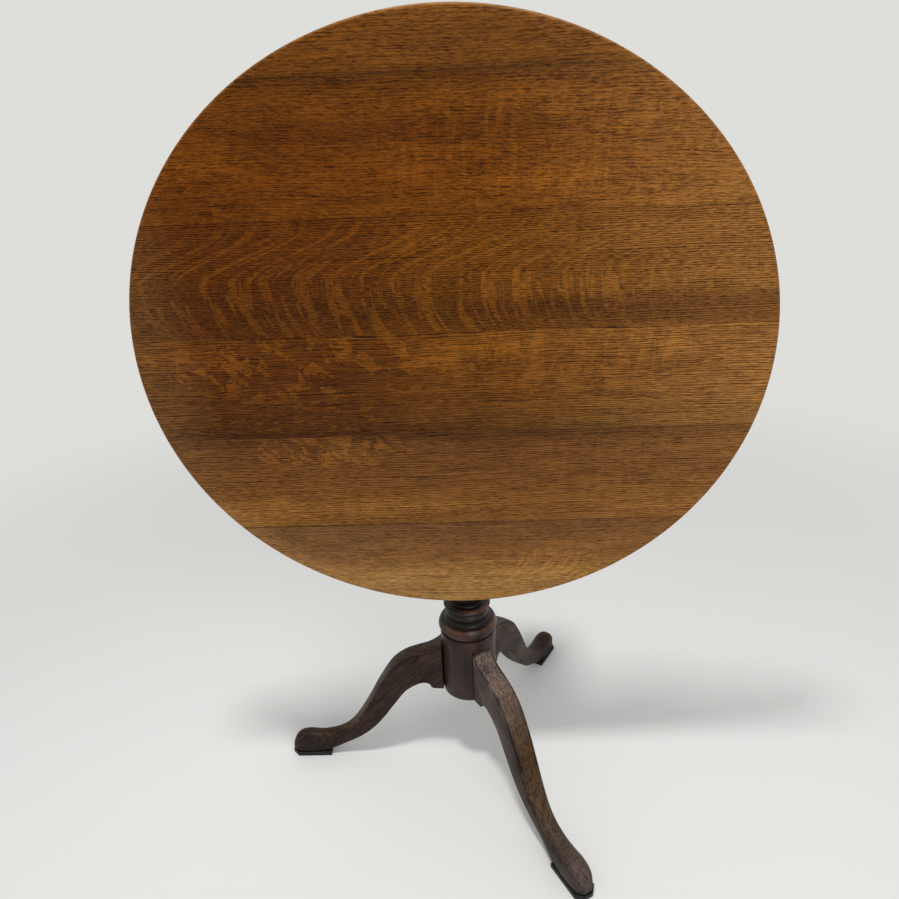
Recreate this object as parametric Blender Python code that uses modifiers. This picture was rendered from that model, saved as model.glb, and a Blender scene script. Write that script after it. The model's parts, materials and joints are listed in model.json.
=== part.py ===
"""Round oak tilt top table on a turned column with three cabriole legs.

Metres, +Z up, origin on the column's axis at floor level. The top stands tipped up,
resting on the front edge of its block, which is how the table is put away.
"""
from math import asin, cos, pi, radians, sin

import bmesh
import bpy
from mathutils import Matrix, Vector

# ---- driving dimensions ------------------------------------------------------
GAP = 0.0003                  # space left between pieces that touch

TABLE_HEIGHT = 0.717          # floor to the show face with the top level
TIP_ANGLE = 99.085            # from level to the tipped stop, in degrees

TOP_DIAMETER = 0.790
TOP_THICKNESS = 0.020
TOP_EDGE_EASE = 0.0015        # rounding of the rim's two arrises
BOARD_SHARES = (0.196, 0.191, 0.180, 0.179, 0.181, 0.073)  # of the diameter, low board first

BLOCK_WIDTH = 0.178           # along the pivots
BLOCK_DEPTH = 0.174
BLOCK_THICKNESS = 0.030
BLOCK_TO_TOP = 0.0005         # space over the block when the top is level
BLOCK_ARRIS = 0.0015          # worn edges of the block

BEARER_WIDTH = 0.032
BEARER_DEPTH = 0.028
BEARER_LAP = 0.0032           # how far the bearer runs onto the last board
BEARER_TAPER = 0.045          # length of the thinned end
BEARER_END_DEPTH = 0.011
BEARER_SIDE_GAP = 0.0015      # between the block's end and the bearer

DOWEL_RADIUS = 0.0065
DOWEL_IN_BLOCK = 0.034
DOWEL_IN_BEARER = 0.018
DOWEL_PLAY = 0.0004           # radial running clearance in the bearer

LEG_THICKNESS = 0.035
LEG_RISE = 0.2455             # floor to the leg's top at the drum
LEG_REACH = 0.3210            # column axis to the end of the foot
FRONT_LEG_EXTRA = 0.0100      # the front leg was cut a little longer
LEG_CROWN = 0.0025            # rise of the leg's top face between its arrises
LEG_AZIMUTHS = {"left": 180.0, "front": 300.0, "rear": 60.0}
FOOT_WIDTHS = {"left": 0.0290, "front": 0.0350, "rear": 0.0330}  # shaped by hand

PAD_THICKNESS = 0.008
PAD_LENGTH = 0.070
PAD_PROUD = 0.0005            # each side of the foot
PAD_OVERHANG = 0.0025         # past the end of the foot
PAD_CHAMFER = 0.0105

DOVETAIL_DEPTH = 0.013
DOVETAIL_NECK = 0.013
DOVETAIL_FLARE = 0.019
DOVETAIL_STOP = 0.014         # from the leg's top down to the dovetail's top

DRUM_RADIUS = 0.0453
DRUM_FLAT = 0.0008            # how far the drum is flattened behind each leg
DRUM_ABOVE_LEGS = 0.0215
DRUM_BELOW_LEGS = 0.0015

TENON_RADIUS = 0.019
TENON_BELOW_FACE = 0.0008
WEDGE_THICKNESS = 0.0036
WEDGE_TIP = 0.0012
WEDGE_LENGTH = 0.022

SCREW_HEAD_RADIUS = 0.0042
SCREW_SHANK_RADIUS = 0.0022
SCREW_HEAD_HEIGHT = 0.0026
SCREW_SLOT = 0.0009
SCREW_IN_BOARD = 0.011
SMALL_SCREW_SCALE = 0.7       # the catch's brass screws against the bearers' screws
SMALL_SCREW_LENGTH = 0.012

CATCH_WALL = 0.002
CATCH_LENGTH = 0.056
CATCH_FLOOR = 0.003           # of the case, under the bolt
CATCH_SCREW_INSET = 0.2       # of the case's length, from each end
CATCH_FLANGE_WIDTH = 0.056
CATCH_FROM_BLOCK = 0.004
BOLT_WIDTH = 0.012
BOLT_HEIGHT = 0.007
BOLT_LENGTH = 0.044
BOLT_ENTRY = 0.0055           # how far the shot bolt reaches into the block
BOLT_TRAVEL = 0.008
BOLT_RISE = 0.002             # bolt centre above the pivot axis, top level
KNOB_PLACE = 0.36             # of the case's length, from its front
KNOB_RADIUS = 0.0075
KNOB_STEM_RADIUS = 0.0022
KNOB_HEIGHT = 0.012
KNOB_BELOW_CASE = 0.003
SPRING_RADIUS = 0.0029
SPRING_WIRE = 0.0009
SPRING_TURNS = 6
STRIKE_WIDTH = 0.042
STRIKE_HEIGHT = 0.020
STRIKE_THICKNESS = 0.0015
STRIKE_PLAY = 0.0008          # round the bolt

# The leg's pattern in millimetres: x out from the drum, z up from the foot's underside.
# Each row: upper x, upper z, lower x, lower z, width share, top corner, bottom corner.
# The width share is of the leg's thickness at the knee and of the foot's width at the foot.
LEG_PATTERN_SIZE = (276.0, 237.2)
LEG_PATTERN_ANKLE = (128.5, 201.5)
LEG_PATTERN = (
    (0.0, 237.2, 0.0, 142.2, 1.00, 1.2, 1.0),
    (4.0, 230.9, 5.5, 142.4, 1.00, 1.2, 1.0),
    (13.5, 223.7, 13.0, 143.2, 1.00, 1.2, 1.0),
    (23.5, 218.4, 19.5, 144.7, 1.00, 1.2, 1.0),
    (30.5, 216.0, 25.0, 152.9, 1.00, 1.2, 1.0),
    (45.0, 211.7, 37.0, 154.9, 1.00, 1.2, 1.0),
    (66.5, 202.7, 53.0, 147.5, 1.00, 1.2, 1.0),
    (88.5, 184.2, 68.5, 134.7, 1.00, 1.2, 1.0),
    (111.5, 148.7, 87.5, 108.7, 1.00, 1.6, 1.0),
    (131.5, 111.0, 107.5, 80.2, 0.99, 3.5, 1.5),
    (150.5, 78.5, 128.5, 54.2, 0.95, 7.0, 3.5),
    (168.5, 57.5, 152.5, 31.2, 0.90, 11.0, 8.0),
    (188.5, 45.0, 177.5, 15.2, 0.87, 13.0, 11.0),
    (209.5, 38.5, 201.5, 3.9, 0.91, 14.5, 9.5),
    (227.5, 37.0, 221.5, 0.0, 0.96, 15.0, 5.0),
    (246.5, 39.0, 244.5, 0.0, 0.97, 15.0, 4.0),
    (260.5, 36.0, 261.5, 0.0, 0.90, 14.0, 4.0),
    (270.0, 28.0, 270.5, 0.3, 0.72, 11.0, 4.0),
    (276.0, 15.7, 276.0, 1.7, 0.42, 5.5, 3.0),
)

# ---- places worked out from the sizes ----------------------------------------
TOP_RADIUS = TOP_DIAMETER / 2
UNDERSIDE = BLOCK_THICKNESS / 2 + BLOCK_TO_TOP     # pivot axis to the top's underside
PIVOT_HEIGHT = TABLE_HEIGHT - TOP_THICKNESS - UNDERSIDE
LEAN = radians(TIP_ANGLE - 90)
BLOCK_NOSE = (UNDERSIDE - GAP - sin(LEAN) * BLOCK_THICKNESS / 2) / cos(LEAN)
PIVOT_OFFSET = BLOCK_DEPTH / 2 - BLOCK_NOSE        # pivot axis in front of the column
BLOCK_REAR = PIVOT_OFFSET + BLOCK_DEPTH / 2        # from the pivot axis, top level
BEARER_X = BLOCK_WIDTH / 2 + BEARER_SIDE_GAP + BEARER_WIDTH / 2
LAST_SEAM = TOP_DIAMETER * (0.5 - BOARD_SHARES[-1] / sum(BOARD_SHARES))
BEARER_HALF = LAST_SEAM + BEARER_LAP               # from the middle of the top to the end
SHOULDER = DRUM_RADIUS - DRUM_FLAT + GAP           # column axis to the leg's inner end
FOOT_BASE = PAD_THICKNESS + GAP
LEG_BOTTOM = FOOT_BASE + LEG_PATTERN[0][3] / LEG_PATTERN_SIZE[1] * (LEG_RISE - FOOT_BASE)
DRUM_BOTTOM = LEG_BOTTOM - DRUM_BELOW_LEGS
DRUM_TOP = LEG_RISE + DRUM_ABOVE_LEGS
COLUMN_SHOULDER = PIVOT_HEIGHT - BLOCK_THICKNESS / 2 - GAP
TENON_TOP = PIVOT_HEIGHT + BLOCK_THICKNESS / 2 - TENON_BELOW_FACE
CATCH_FRONT = BLOCK_REAR + CATCH_FROM_BLOCK
CATCH_TOP = UNDERSIDE - GAP
BOLT_NOSE = BLOCK_REAR - BOLT_ENTRY
CATCH_BOTTOM = BOLT_RISE - BOLT_HEIGHT / 2 - GAP - CATCH_FLOOR
KNOB_Y = CATCH_FRONT + CATCH_LENGTH * KNOB_PLACE
CAVITY_HALF = BOLT_WIDTH / 2 + GAP

# ---- finishes: colour, roughness, metallic -----------------------------------
TOP_OAK = (0.19, 0.065, 0.016)
RIM_OAK = (0.30, 0.14, 0.05)
DARK_OAK = (0.045, 0.025, 0.018)
COLUMN_OAK = (0.050, 0.018, 0.011)
RAW_OAK = (0.12, 0.065, 0.032)
EBONY = (0.010, 0.012, 0.011)
BRASS = (0.42, 0.28, 0.10)
STEEL = (0.16, 0.15, 0.14)


# ---- helpers -----------------------------------------------------------------
for old in list(bpy.data.objects):
    bpy.data.objects.remove(old, do_unlink=True)

parts = bpy.data.collections.new("tilt_top_table")
cutters = bpy.data.collections.new("cutters")
bpy.context.scene.collection.children.link(parts)
bpy.context.scene.collection.children.link(cutters)


def finish(piece, colour, roughness, metallic=0.0):
    """Gives the piece a material of its own."""
    material = bpy.data.materials.new(piece.name)
    material.use_nodes = True
    shader = material.node_tree.nodes["Principled BSDF"]
    shader.inputs["Base Color"].default_value = (*colour, 1.0)
    shader.inputs["Roughness"].default_value = roughness
    shader.inputs["Metallic"].default_value = metallic
    material.diffuse_color = (*colour, 1.0)
    piece.data.materials.clear()
    piece.data.materials.append(material)


def place(mesh, name, parent=None, group=None):
    """Adds an object for the mesh."""
    piece = bpy.data.objects.new(name, mesh)
    (group or parts).objects.link(piece)
    piece.parent = parent
    return piece


def round_shading(piece, angle=35.0):
    piece.data.shade_smooth()
    piece.data.set_sharp_from_angle(angle=radians(angle))


def frozen(piece):
    """The piece's evaluated shape as a plain mesh, its seams welded."""
    bpy.context.view_layer.update()
    shape = piece.evaluated_get(bpy.context.evaluated_depsgraph_get())
    mesh = bpy.data.meshes.new_from_object(shape)
    work = bmesh.new()
    work.from_mesh(mesh)
    bmesh.ops.remove_doubles(work, verts=work.verts, dist=0.00001)
    work.to_mesh(mesh)
    work.free()
    mesh.transform(piece.matrix_world)
    bpy.data.objects.remove(piece, do_unlink=True)
    return mesh


def box_mesh(name, low, high):
    """A box between two corners."""
    size = [b - a for a, b in zip(low, high)]
    middle = [(a + b) / 2 for a, b in zip(low, high)]
    work = bmesh.new()
    bmesh.ops.create_cube(work, size=1.0)
    bmesh.ops.scale(work, vec=size, verts=work.verts)
    bmesh.ops.translate(work, vec=middle, verts=work.verts)
    mesh = bpy.data.meshes.new(name)
    work.to_mesh(mesh)
    work.free()
    return mesh


def slab_mesh(name, outline, thickness):
    """A flat outline in X and Y, thickened evenly about Z = 0."""
    curve = bpy.data.curves.new(name, "CURVE")
    curve.dimensions = "2D"
    curve.fill_mode = "BOTH"
    curve.extrude = thickness / 2
    line = curve.splines.new("POLY")
    line.points.add(len(outline) - 1)
    for point, (x, y) in zip(line.points, outline):
        point.co = (x, y, 0.0, 1.0)
    line.use_cyclic_u = True
    return frozen(place(curve, name))


def turned_mesh(name, profile, segments):
    """A solid of revolution about Z from (radius, height) pairs, bottom to top."""
    mesh = bpy.data.meshes.new(name)
    points = [(radius, 0.0, height) for radius, height in reversed(profile)]
    mesh.from_pydata(points, [(i, i + 1) for i in range(len(points) - 1)], [])
    blank = place(mesh, name)
    lathe = blank.modifiers.new("lathe", "SCREW")
    lathe.steps = segments
    lathe.render_steps = segments
    lathe.use_merge_vertices = True
    lathe.merge_threshold = 0.00002
    return frozen(blank)


def rod_mesh(name, radius, low, high, segments=24, ease=0.0):
    """A round rod about Z with eased ends."""
    ease = min(ease, radius / 2)
    profile = [(0.0, low), (radius - ease, low), (radius, low + ease)]
    profile += [(radius, high - ease), (radius - ease, high), (0.0, high)]
    if not ease:
        profile = [(0.0, low), (radius, low), (radius, high), (0.0, high)]
    return turned_mesh(name, profile, segments)


def bend(start, control, end, steps):
    """Points of a curved stretch, without its first point."""
    points = []
    for step in range(1, steps + 1):
        t = step / steps
        weights = ((1 - t) ** 2, 2 * t * (1 - t), t * t)
        points.append(tuple(sum(w * p[i] for w, p in zip(weights, (start, control, end)))
                            for i in range(2)))
    return points


def cut(piece, mesh, matrix=None, operation="DIFFERENCE"):
    """Cuts the mesh out of the piece, or joins it on; it stands in the piece's own frame."""
    tool = place(mesh, f"{piece.name}_{mesh.name}", piece.parent, cutters)
    tool.matrix_basis = piece.matrix_basis @ (matrix or Matrix())
    tool.hide_render = True
    tool.display_type = "WIRE"
    step = piece.modifiers.new(mesh.name, "BOOLEAN")
    step.operation = operation
    step.object = tool


def empty(name, location, tilt=0.0, parent=None):
    guide = bpy.data.objects.new(name, None)
    parts.objects.link(guide)
    guide.location = location
    guide.rotation_euler = (tilt, 0.0, 0.0)
    guide.parent = parent
    return guide


ACROSS = Matrix.Rotation(pi / 2, 4, "Z") @ Matrix.Rotation(pi / 2, 4, "X")  # slab's XY to YZ
ALONG_X = Matrix.Rotation(pi / 2, 4, "Y")          # a turned piece's axis to X
ALONG_Y = Matrix.Rotation(-pi / 2, 4, "X")         # a turned piece's axis to Y
pivot = empty("pivot_axis", (0.0, -PIVOT_OFFSET, PIVOT_HEIGHT), radians(TIP_ANGLE))
bolt_guide = empty("bolt_axis", (0.0, BOLT_NOSE, BOLT_RISE), 0.0, pivot)


# ---- screws ------------------------------------------------------------------
def screw_profile(length, scale, space=0.0):
    """Countersunk screw, its head's face at height 0; space widens it into its hole."""
    head = SCREW_HEAD_RADIUS * scale + space
    shank = SCREW_SHANK_RADIUS * scale + space
    cone = SCREW_HEAD_HEIGHT * scale
    tip = length + space
    return [(0.0, -tip), (shank, -tip + 2 * shank), (shank, -cone), (head, 0.0), (0.0, 0.0)]


def screw_mesh(name, length, scale):
    mesh = turned_mesh(name, screw_profile(length, scale), 12)
    blank = place(mesh, name)
    slot = SCREW_SLOT * scale / 2
    reach = SCREW_HEAD_RADIUS * scale * 1.2
    depth = SCREW_HEAD_HEIGHT * scale * 0.45
    cut(blank, box_mesh("slot", (-reach, -slot, -depth), (reach, slot, GAP)))
    return frozen(blank)


def screw_hole(piece, length, scale, matrix):
    """The hole that a screw leaves, opened above its head."""
    profile = screw_profile(length, scale, GAP)
    head = profile[-2][0]
    profile[-2:] = [(head, GAP), (head, 4 * GAP), (0.0, 4 * GAP)]
    profile.insert(-3, (head, 0.0))
    cut(piece, turned_mesh("screw_hole", profile, 12), matrix)


def bearer_depth(along):
    """How deep the bearer is at a distance from its middle."""
    start = BEARER_HALF - BEARER_TAPER
    share = min(max((abs(along) - start) / BEARER_TAPER, 0.0), 1.0)
    return BEARER_DEPTH + share * (BEARER_END_DEPTH - BEARER_DEPTH)


# ---- top boards --------------------------------------------------------------
def board_spans():
    """Each board's lower and upper edge, measured from the top's centre."""
    spans = []
    low = -TOP_RADIUS
    for share in BOARD_SHARES:
        high = low + share / sum(BOARD_SHARES) * TOP_DIAMETER
        spans.append((low, high))
        low = high
    return spans


def screw_rows():
    """Where the bearers' screws stand along Y from the top's centre, one row a board."""
    flat = BEARER_HALF - BEARER_TAPER
    rows = {}
    for index, (low, high) in enumerate(board_spans()):
        low, high = max(low, -flat), min(high, flat)
        if high - low > 6 * SCREW_SHANK_RADIUS:
            rows[index] = (low + high) / 2
    return rows


def top_boards():
    ease = TOP_EDGE_EASE
    half = TOP_THICKNESS / 2
    profile = [(0.0, -half), (TOP_RADIUS - ease, -half)]
    profile += bend(profile[-1], (TOP_RADIUS, -half), (TOP_RADIUS, -half + ease), 2)
    profile += [(TOP_RADIUS, half - ease)]
    profile += bend(profile[-1], (TOP_RADIUS, half), (TOP_RADIUS - ease, half), 2)
    profile += [(0.0, half)]
    disc = turned_mesh("disc", profile, 112)
    rows = screw_rows()
    for index, (low, high) in enumerate(board_spans()):
        board = place(disc.copy(), f"top_board_{index + 1}", pivot)
        board.location = (0.0, PIVOT_OFFSET, UNDERSIDE + half)
        low = low + GAP / 2 if index else low - half
        high = high - GAP / 2 if index < len(BOARD_SHARES) - 1 else high + half
        reach = TOP_RADIUS + half
        span = box_mesh("span", (-reach, low, -half - half), (reach, high, half + half))
        cut(board, span, operation="INTERSECT")
        for side in (-1, 1):
            if index in rows:
                hole = rod_mesh("pilot", SCREW_SHANK_RADIUS + GAP, -half - GAP,
                                SCREW_IN_BOARD + 2 * GAP - half, 12)
                cut(board, hole, Matrix.Translation((side * BEARER_X, rows[index], 0.0)))
        finish(board, RIM_OAK if index == 0 else TOP_OAK, 0.42)
        round_shading(board, 25.0)
    bpy.data.meshes.remove(disc)


# ---- bearers and their screws ------------------------------------------------
def bearers():
    top = UNDERSIDE - GAP
    rows = screw_rows()
    outline = [(-BEARER_HALF, 0.0), (-BEARER_HALF, -BEARER_END_DEPTH),
               (-BEARER_HALF + BEARER_TAPER, -BEARER_DEPTH)]
    outline += [(-y, z) for y, z in reversed(outline)]
    length = BEARER_DEPTH + GAP + SCREW_IN_BOARD
    screw = screw_mesh("bearer_screw", length, 1.0)
    for name, side in (("left", -1), ("right", 1)):
        mesh = slab_mesh("outline", outline, BEARER_WIDTH)
        mesh.transform(ACROSS)
        bearer = place(mesh, f"bearer_{name}", pivot)
        bearer.location = (side * BEARER_X, PIVOT_OFFSET, top)
        depth = DOWEL_IN_BEARER + 2 * GAP
        socket = rod_mesh("socket", DOWEL_RADIUS + DOWEL_PLAY, -0.002, depth, 24)
        inner = Vector((-side * BEARER_WIDTH / 2, -PIVOT_OFFSET, -top))
        turn = ALONG_X if side > 0 else Matrix.Rotation(pi, 4, "Z") @ ALONG_X
        cut(bearer, socket, Matrix.Translation(inner) @ turn)
        for row in rows.values():
            flip = Matrix.Rotation(pi, 4, "X")
            screw_hole(bearer, length, 1.0, Matrix.Translation((0.0, row, -bearer_depth(row))) @ flip)
        edges = bearer.modifiers.new("worn_edges", "BEVEL")
        edges.width = 0.0008
        edges.segments = 1
        edges.angle_limit = radians(60)
        bearer.modifiers.move(len(bearer.modifiers) - 1, 0)
        finish(bearer, RAW_OAK, 0.65)
        for index, row in rows.items():
            piece = place(screw, f"bearer_{name}_screw_{index + 1}", pivot)
            piece.data = screw.copy()
            head = top - bearer_depth(row)
            piece.location = (side * BEARER_X, PIVOT_OFFSET + row, head)
            piece.rotation_euler = (pi, 0.0, 0.0)
            finish(piece, STEEL, 0.45, 1.0)
            round_shading(piece)


# ---- block, pivot dowels and strike ------------------------------------------
def block():
    """The block on the column, its front arris rounded about the pivots."""
    half = BLOCK_THICKNESS / 2
    nose = asin(BLOCK_NOSE / half)
    outline = [(-BLOCK_NOSE, -half)]
    steps = 8
    for step in range(steps + 1):
        angle = nose * (1 - step / steps)
        outline.append((-half * sin(angle), half * cos(angle)))
    outline += [(BLOCK_REAR - BLOCK_ARRIS, half), (BLOCK_REAR, half - BLOCK_ARRIS)]
    outline += [(BLOCK_REAR, BLOCK_ARRIS - half), (BLOCK_REAR - BLOCK_ARRIS, -half)]
    mesh = slab_mesh("outline", outline[::-1], BLOCK_WIDTH)
    mesh.transform(ACROSS)
    piece = place(mesh, "block")
    piece.location = (0.0, -PIVOT_OFFSET, PIVOT_HEIGHT)
    bore = rod_mesh("bore", TENON_RADIUS + GAP, -BLOCK_THICKNESS, BLOCK_THICKNESS, 32)
    cut(piece, bore, Matrix.Translation((0.0, PIVOT_OFFSET, 0.0)))
    for side in (-1, 1):
        low, high = sorted((side * (BLOCK_WIDTH / 2 - DOWEL_IN_BLOCK - GAP), side * BLOCK_WIDTH))
        cut(piece, rod_mesh("dowel_hole", DOWEL_RADIUS + GAP, low, high, 24), ALONG_X)
    recess_low = (-STRIKE_WIDTH / 2 - GAP, BLOCK_REAR - STRIKE_THICKNESS - GAP,
                  BOLT_RISE - STRIKE_HEIGHT / 2 - GAP)
    recess_high = (STRIKE_WIDTH / 2 + GAP, BLOCK_REAR + 0.01, BOLT_RISE + STRIKE_HEIGHT / 2 + GAP)
    cut(piece, box_mesh("recess", recess_low, recess_high))
    wide = BOLT_WIDTH / 2 + STRIKE_PLAY
    tall = BOLT_HEIGHT / 2 + STRIKE_PLAY
    cut(piece, box_mesh("mortise", (-wide, BOLT_NOSE - 0.002, BOLT_RISE - tall),
                        (wide, BLOCK_REAR + 0.01, BOLT_RISE + tall)))
    for x in strike_screw_places():
        hole = rod_mesh("pilot", (SCREW_SHANK_RADIUS + GAP / 2) * SMALL_SCREW_SCALE + GAP / 2,
                        -SMALL_SCREW_LENGTH - 2 * GAP, 0.01, 12)
        cut(piece, hole, Matrix.Translation((x, BLOCK_REAR, BOLT_RISE)) @ ALONG_Y)
    finish(piece, RAW_OAK, 0.6)
    round_shading(piece, 30.0)


def pivot_dowels():
    length = DOWEL_IN_BLOCK + BEARER_SIDE_GAP + DOWEL_IN_BEARER
    for name, side in (("left", -1), ("right", 1)):
        piece = place(rod_mesh("dowel", DOWEL_RADIUS, 0.0, length, 24, 0.0008), f"pivot_dowel_{name}")
        piece.data.transform(ALONG_X)
        piece.location = (side * (BLOCK_WIDTH / 2 - DOWEL_IN_BLOCK), -PIVOT_OFFSET, PIVOT_HEIGHT)
        piece.rotation_euler = (0.0, 0.0, 0.0 if side > 0 else pi)
        finish(piece, RAW_OAK, 0.5)
        round_shading(piece)


def strike_screw_places():
    inset = (STRIKE_WIDTH / 2 + BOLT_WIDTH / 2 + STRIKE_PLAY) / 2
    return (-inset, inset)


def strike():
    """Brass plate let into the block's rear edge, and its two screws."""
    low = (-STRIKE_WIDTH / 2, -STRIKE_THICKNESS, -STRIKE_HEIGHT / 2)
    plate = place(box_mesh("plate", low, (STRIKE_WIDTH / 2, 0.0, STRIKE_HEIGHT / 2)), "strike_plate")
    plate.location = (0.0, BLOCK_REAR - PIVOT_OFFSET, PIVOT_HEIGHT + BOLT_RISE)
    wide = BOLT_WIDTH / 2 + STRIKE_PLAY
    tall = BOLT_HEIGHT / 2 + STRIKE_PLAY
    cut(plate, box_mesh("bolt_hole", (-wide, -0.01, -tall), (wide, 0.01, tall)))
    screw = screw_mesh("strike_screw", SMALL_SCREW_LENGTH, SMALL_SCREW_SCALE)
    for number, x in enumerate(strike_screw_places()):
        screw_hole(plate, SMALL_SCREW_LENGTH, SMALL_SCREW_SCALE,
                   Matrix.Translation((x, 0.0, 0.0)) @ ALONG_Y)
        piece = place(screw.copy(), f"strike_screw_{number + 1}")
        piece.location = plate.location + Vector((x, 0.0, 0.0))
        piece.rotation_euler = (-pi / 2, 0.0, 0.0)
        finish(piece, BRASS, 0.4, 1.0)
        round_shading(piece)
    finish(plate, BRASS, 0.4, 1.0)


# ---- turned column and its wedge ---------------------------------------------
def column_profile():
    """The turning from the drum's underside to the tenon's top."""
    r = DRUM_RADIUS
    z = DRUM_TOP
    line = [(0.0, DRUM_BOTTOM), (r - 0.0008, DRUM_BOTTOM), (r, DRUM_BOTTOM + 0.0008), (r, z)]
    line += [(r - 0.0018, z), (r - 0.0018, z + 0.0045), (r + 0.0007, z + 0.0045)]
    line += bend(line[-1], (r + 0.0052, z + 0.0125), (r - 0.0013, z + 0.021), 5)      # collar
    line += bend(line[-1], (r - 0.0090, z + 0.0215), (r - 0.0098, z + 0.0275), 3)     # cove
    line += [(r - 0.0118, z + 0.029), (r - 0.0118, z + 0.031)]
    line += bend(line[-1], (r - 0.0095, z + 0.0355), (r - 0.0128, z + 0.0405), 3)
    line += [(r - 0.0133, z + 0.0415), (r - 0.0133, z + 0.045), (r - 0.0123, z + 0.045)]
    line += bend(line[-1], (r - 0.0023, z + 0.0495), (r - 0.0123, z + 0.0545), 5)     # astragal
    line += [(r - 0.0178, z + 0.0555)]
    line += bend(line[-1], (r - 0.0195, z + 0.0575), (r - 0.0180, z + 0.0595), 2)
    line += [(r - 0.0191, z + 0.0605)]
    line += bend(line[-1], (r - 0.0078, z + 0.078), (r - 0.0078, z + 0.121), 5)       # vase
    line += bend(line[-1], (r - 0.0078, z + 0.158), (r - 0.0213, z + 0.185), 5)
    line += [(r - 0.0198, z + 0.186), (r - 0.0198, z + 0.1885), (r - 0.0188, z + 0.1885)]
    line += bend(line[-1], (r - 0.0103, z + 0.1935), (r - 0.0188, z + 0.1985), 4)
    line += [(r - 0.0213, z + 0.1985), (r - 0.0213, z + 0.202), (r - 0.0228, z + 0.2035)]
    head = COLUMN_SHOULDER
    middle = (line[-1][1] + head - 0.045) / 2
    line += bend(line[-1], (0.0240, middle), (0.0190, head - 0.045), 5)               # shaft
    line += [(0.0200, head - 0.045), (0.0200, head - 0.043)]
    line += bend(line[-1], (0.0275, head - 0.0395), (0.0200, head - 0.0355), 4)
    line += [(0.0195, head - 0.0335)]
    line += bend(line[-1], (0.0200, head - 0.012), (0.0290, head - 0.008), 4)
    line += [(0.0310, head - 0.008), (0.0310, head), (TENON_RADIUS, head)]
    line += [(TENON_RADIUS, TENON_TOP - 0.001), (TENON_RADIUS - 0.001, TENON_TOP), (0.0, TENON_TOP)]
    return line


def wedge_mesh(name, space, extra):
    """The tenon's wedge, its top at height 0; space and extra turn it into its kerf."""
    tip = WEDGE_TIP / 2 + space
    top = WEDGE_THICKNESS / 2 + space
    rise = extra * (top - tip) / WEDGE_LENGTH
    outline = [(-tip, -WEDGE_LENGTH - space), (tip, -WEDGE_LENGTH - space),
               (top + rise, extra), (-top - rise, extra)]
    mesh = slab_mesh(name, outline, 2 * (TENON_RADIUS - 0.0015) if not extra else 3 * TENON_RADIUS)
    mesh.transform(ACROSS)
    return mesh


def dovetail_mesh(name, space, low, high):
    """The dovetail on a leg's inner end, pointing in along -X; space turns it into its housing."""
    inner = SHOULDER - DOVETAIL_DEPTH - space
    outer = SHOULDER + 0.003
    slope = (DOVETAIL_FLARE - DOVETAIL_NECK) / 2 / DOVETAIL_DEPTH
    wide = DOVETAIL_FLARE / 2 + space
    narrow = wide - slope * (outer - inner)
    outline = [(inner, -wide), (outer, -narrow), (outer, narrow), (inner, wide)]
    mesh = slab_mesh(name, outline, high - low)
    mesh.transform(Matrix.Translation((0.0, 0.0, (low + high) / 2)))
    return mesh


def column():
    piece = place(turned_mesh("turning", column_profile(), 32), "column")
    half = LEG_THICKNESS / 2 + GAP
    for azimuth in LEG_AZIMUTHS.values():
        turn = Matrix.Rotation(radians(azimuth), 4, "Z")
        flat = box_mesh("flat", (SHOULDER - GAP, -half, DRUM_BOTTOM - 0.01),
                        (DRUM_RADIUS + 0.01, half, LEG_RISE + GAP))
        cut(piece, flat, turn)
        stop = LEG_RISE - DOVETAIL_STOP + GAP
        cut(piece, dovetail_mesh("housing", GAP, DRUM_BOTTOM - 0.01, stop), turn)
    cut(piece, wedge_mesh("kerf", GAP, 0.003), Matrix.Translation((0.0, 0.0, TENON_TOP)))
    finish(piece, COLUMN_OAK, 0.3)
    round_shading(piece, 30.0)
    wedge = place(wedge_mesh("wedge", 0.0, 0.0), "tenon_wedge")
    wedge.location = (0.0, 0.0, TENON_TOP)
    finish(wedge, RAW_OAK, 0.6)


# ---- legs and pads -----------------------------------------------------------
def smooth_rows(rows, steps):
    """Rows of numbers with evenly eased rows between them."""
    eased = []
    last = len(rows) - 1
    for i in range(last):
        a, b, c, d = (rows[min(max(k, 0), last)] for k in (i - 1, i, i + 1, i + 2))
        for step in range(steps):
            t = step / steps
            eased.append([0.5 * (2 * q + (s - p) * t + (2 * p - 5 * q + 4 * s - w) * t * t
                                 + (3 * q - p - 3 * s + w) * t ** 3)
                          for p, q, s, w in zip(a, b, c, d)])
    return eased + [list(rows[last])]


def leg_section(width, depth, top_corner, bottom_corner, crown):
    """The leg's outline across: (sideways, up the section) from its lower edge."""
    points = []
    for side, corner, base, turn in ((1, bottom_corner, 0.0, -90), (1, top_corner, depth, 0),
                                     (-1, top_corner, depth, 90), (-1, bottom_corner, 0.0, 180)):
        corner = min(corner, 0.48 * width, 0.48 * depth)
        centre_x = side * (width / 2 - corner)
        centre_z = base + corner if base == 0.0 else base - corner
        for step in range(4):
            angle = radians(turn + 30 * step)
            points.append((centre_x + corner * cos(angle), centre_z + corner * sin(angle)))
        if turn == 0:
            points.append((0.0, depth))
    lift = [(x, z - crown * (2 * x / width) ** 2 if z > depth / 2 else z) for x, z in points]
    return lift + [(0.0, 0.0)]


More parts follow.
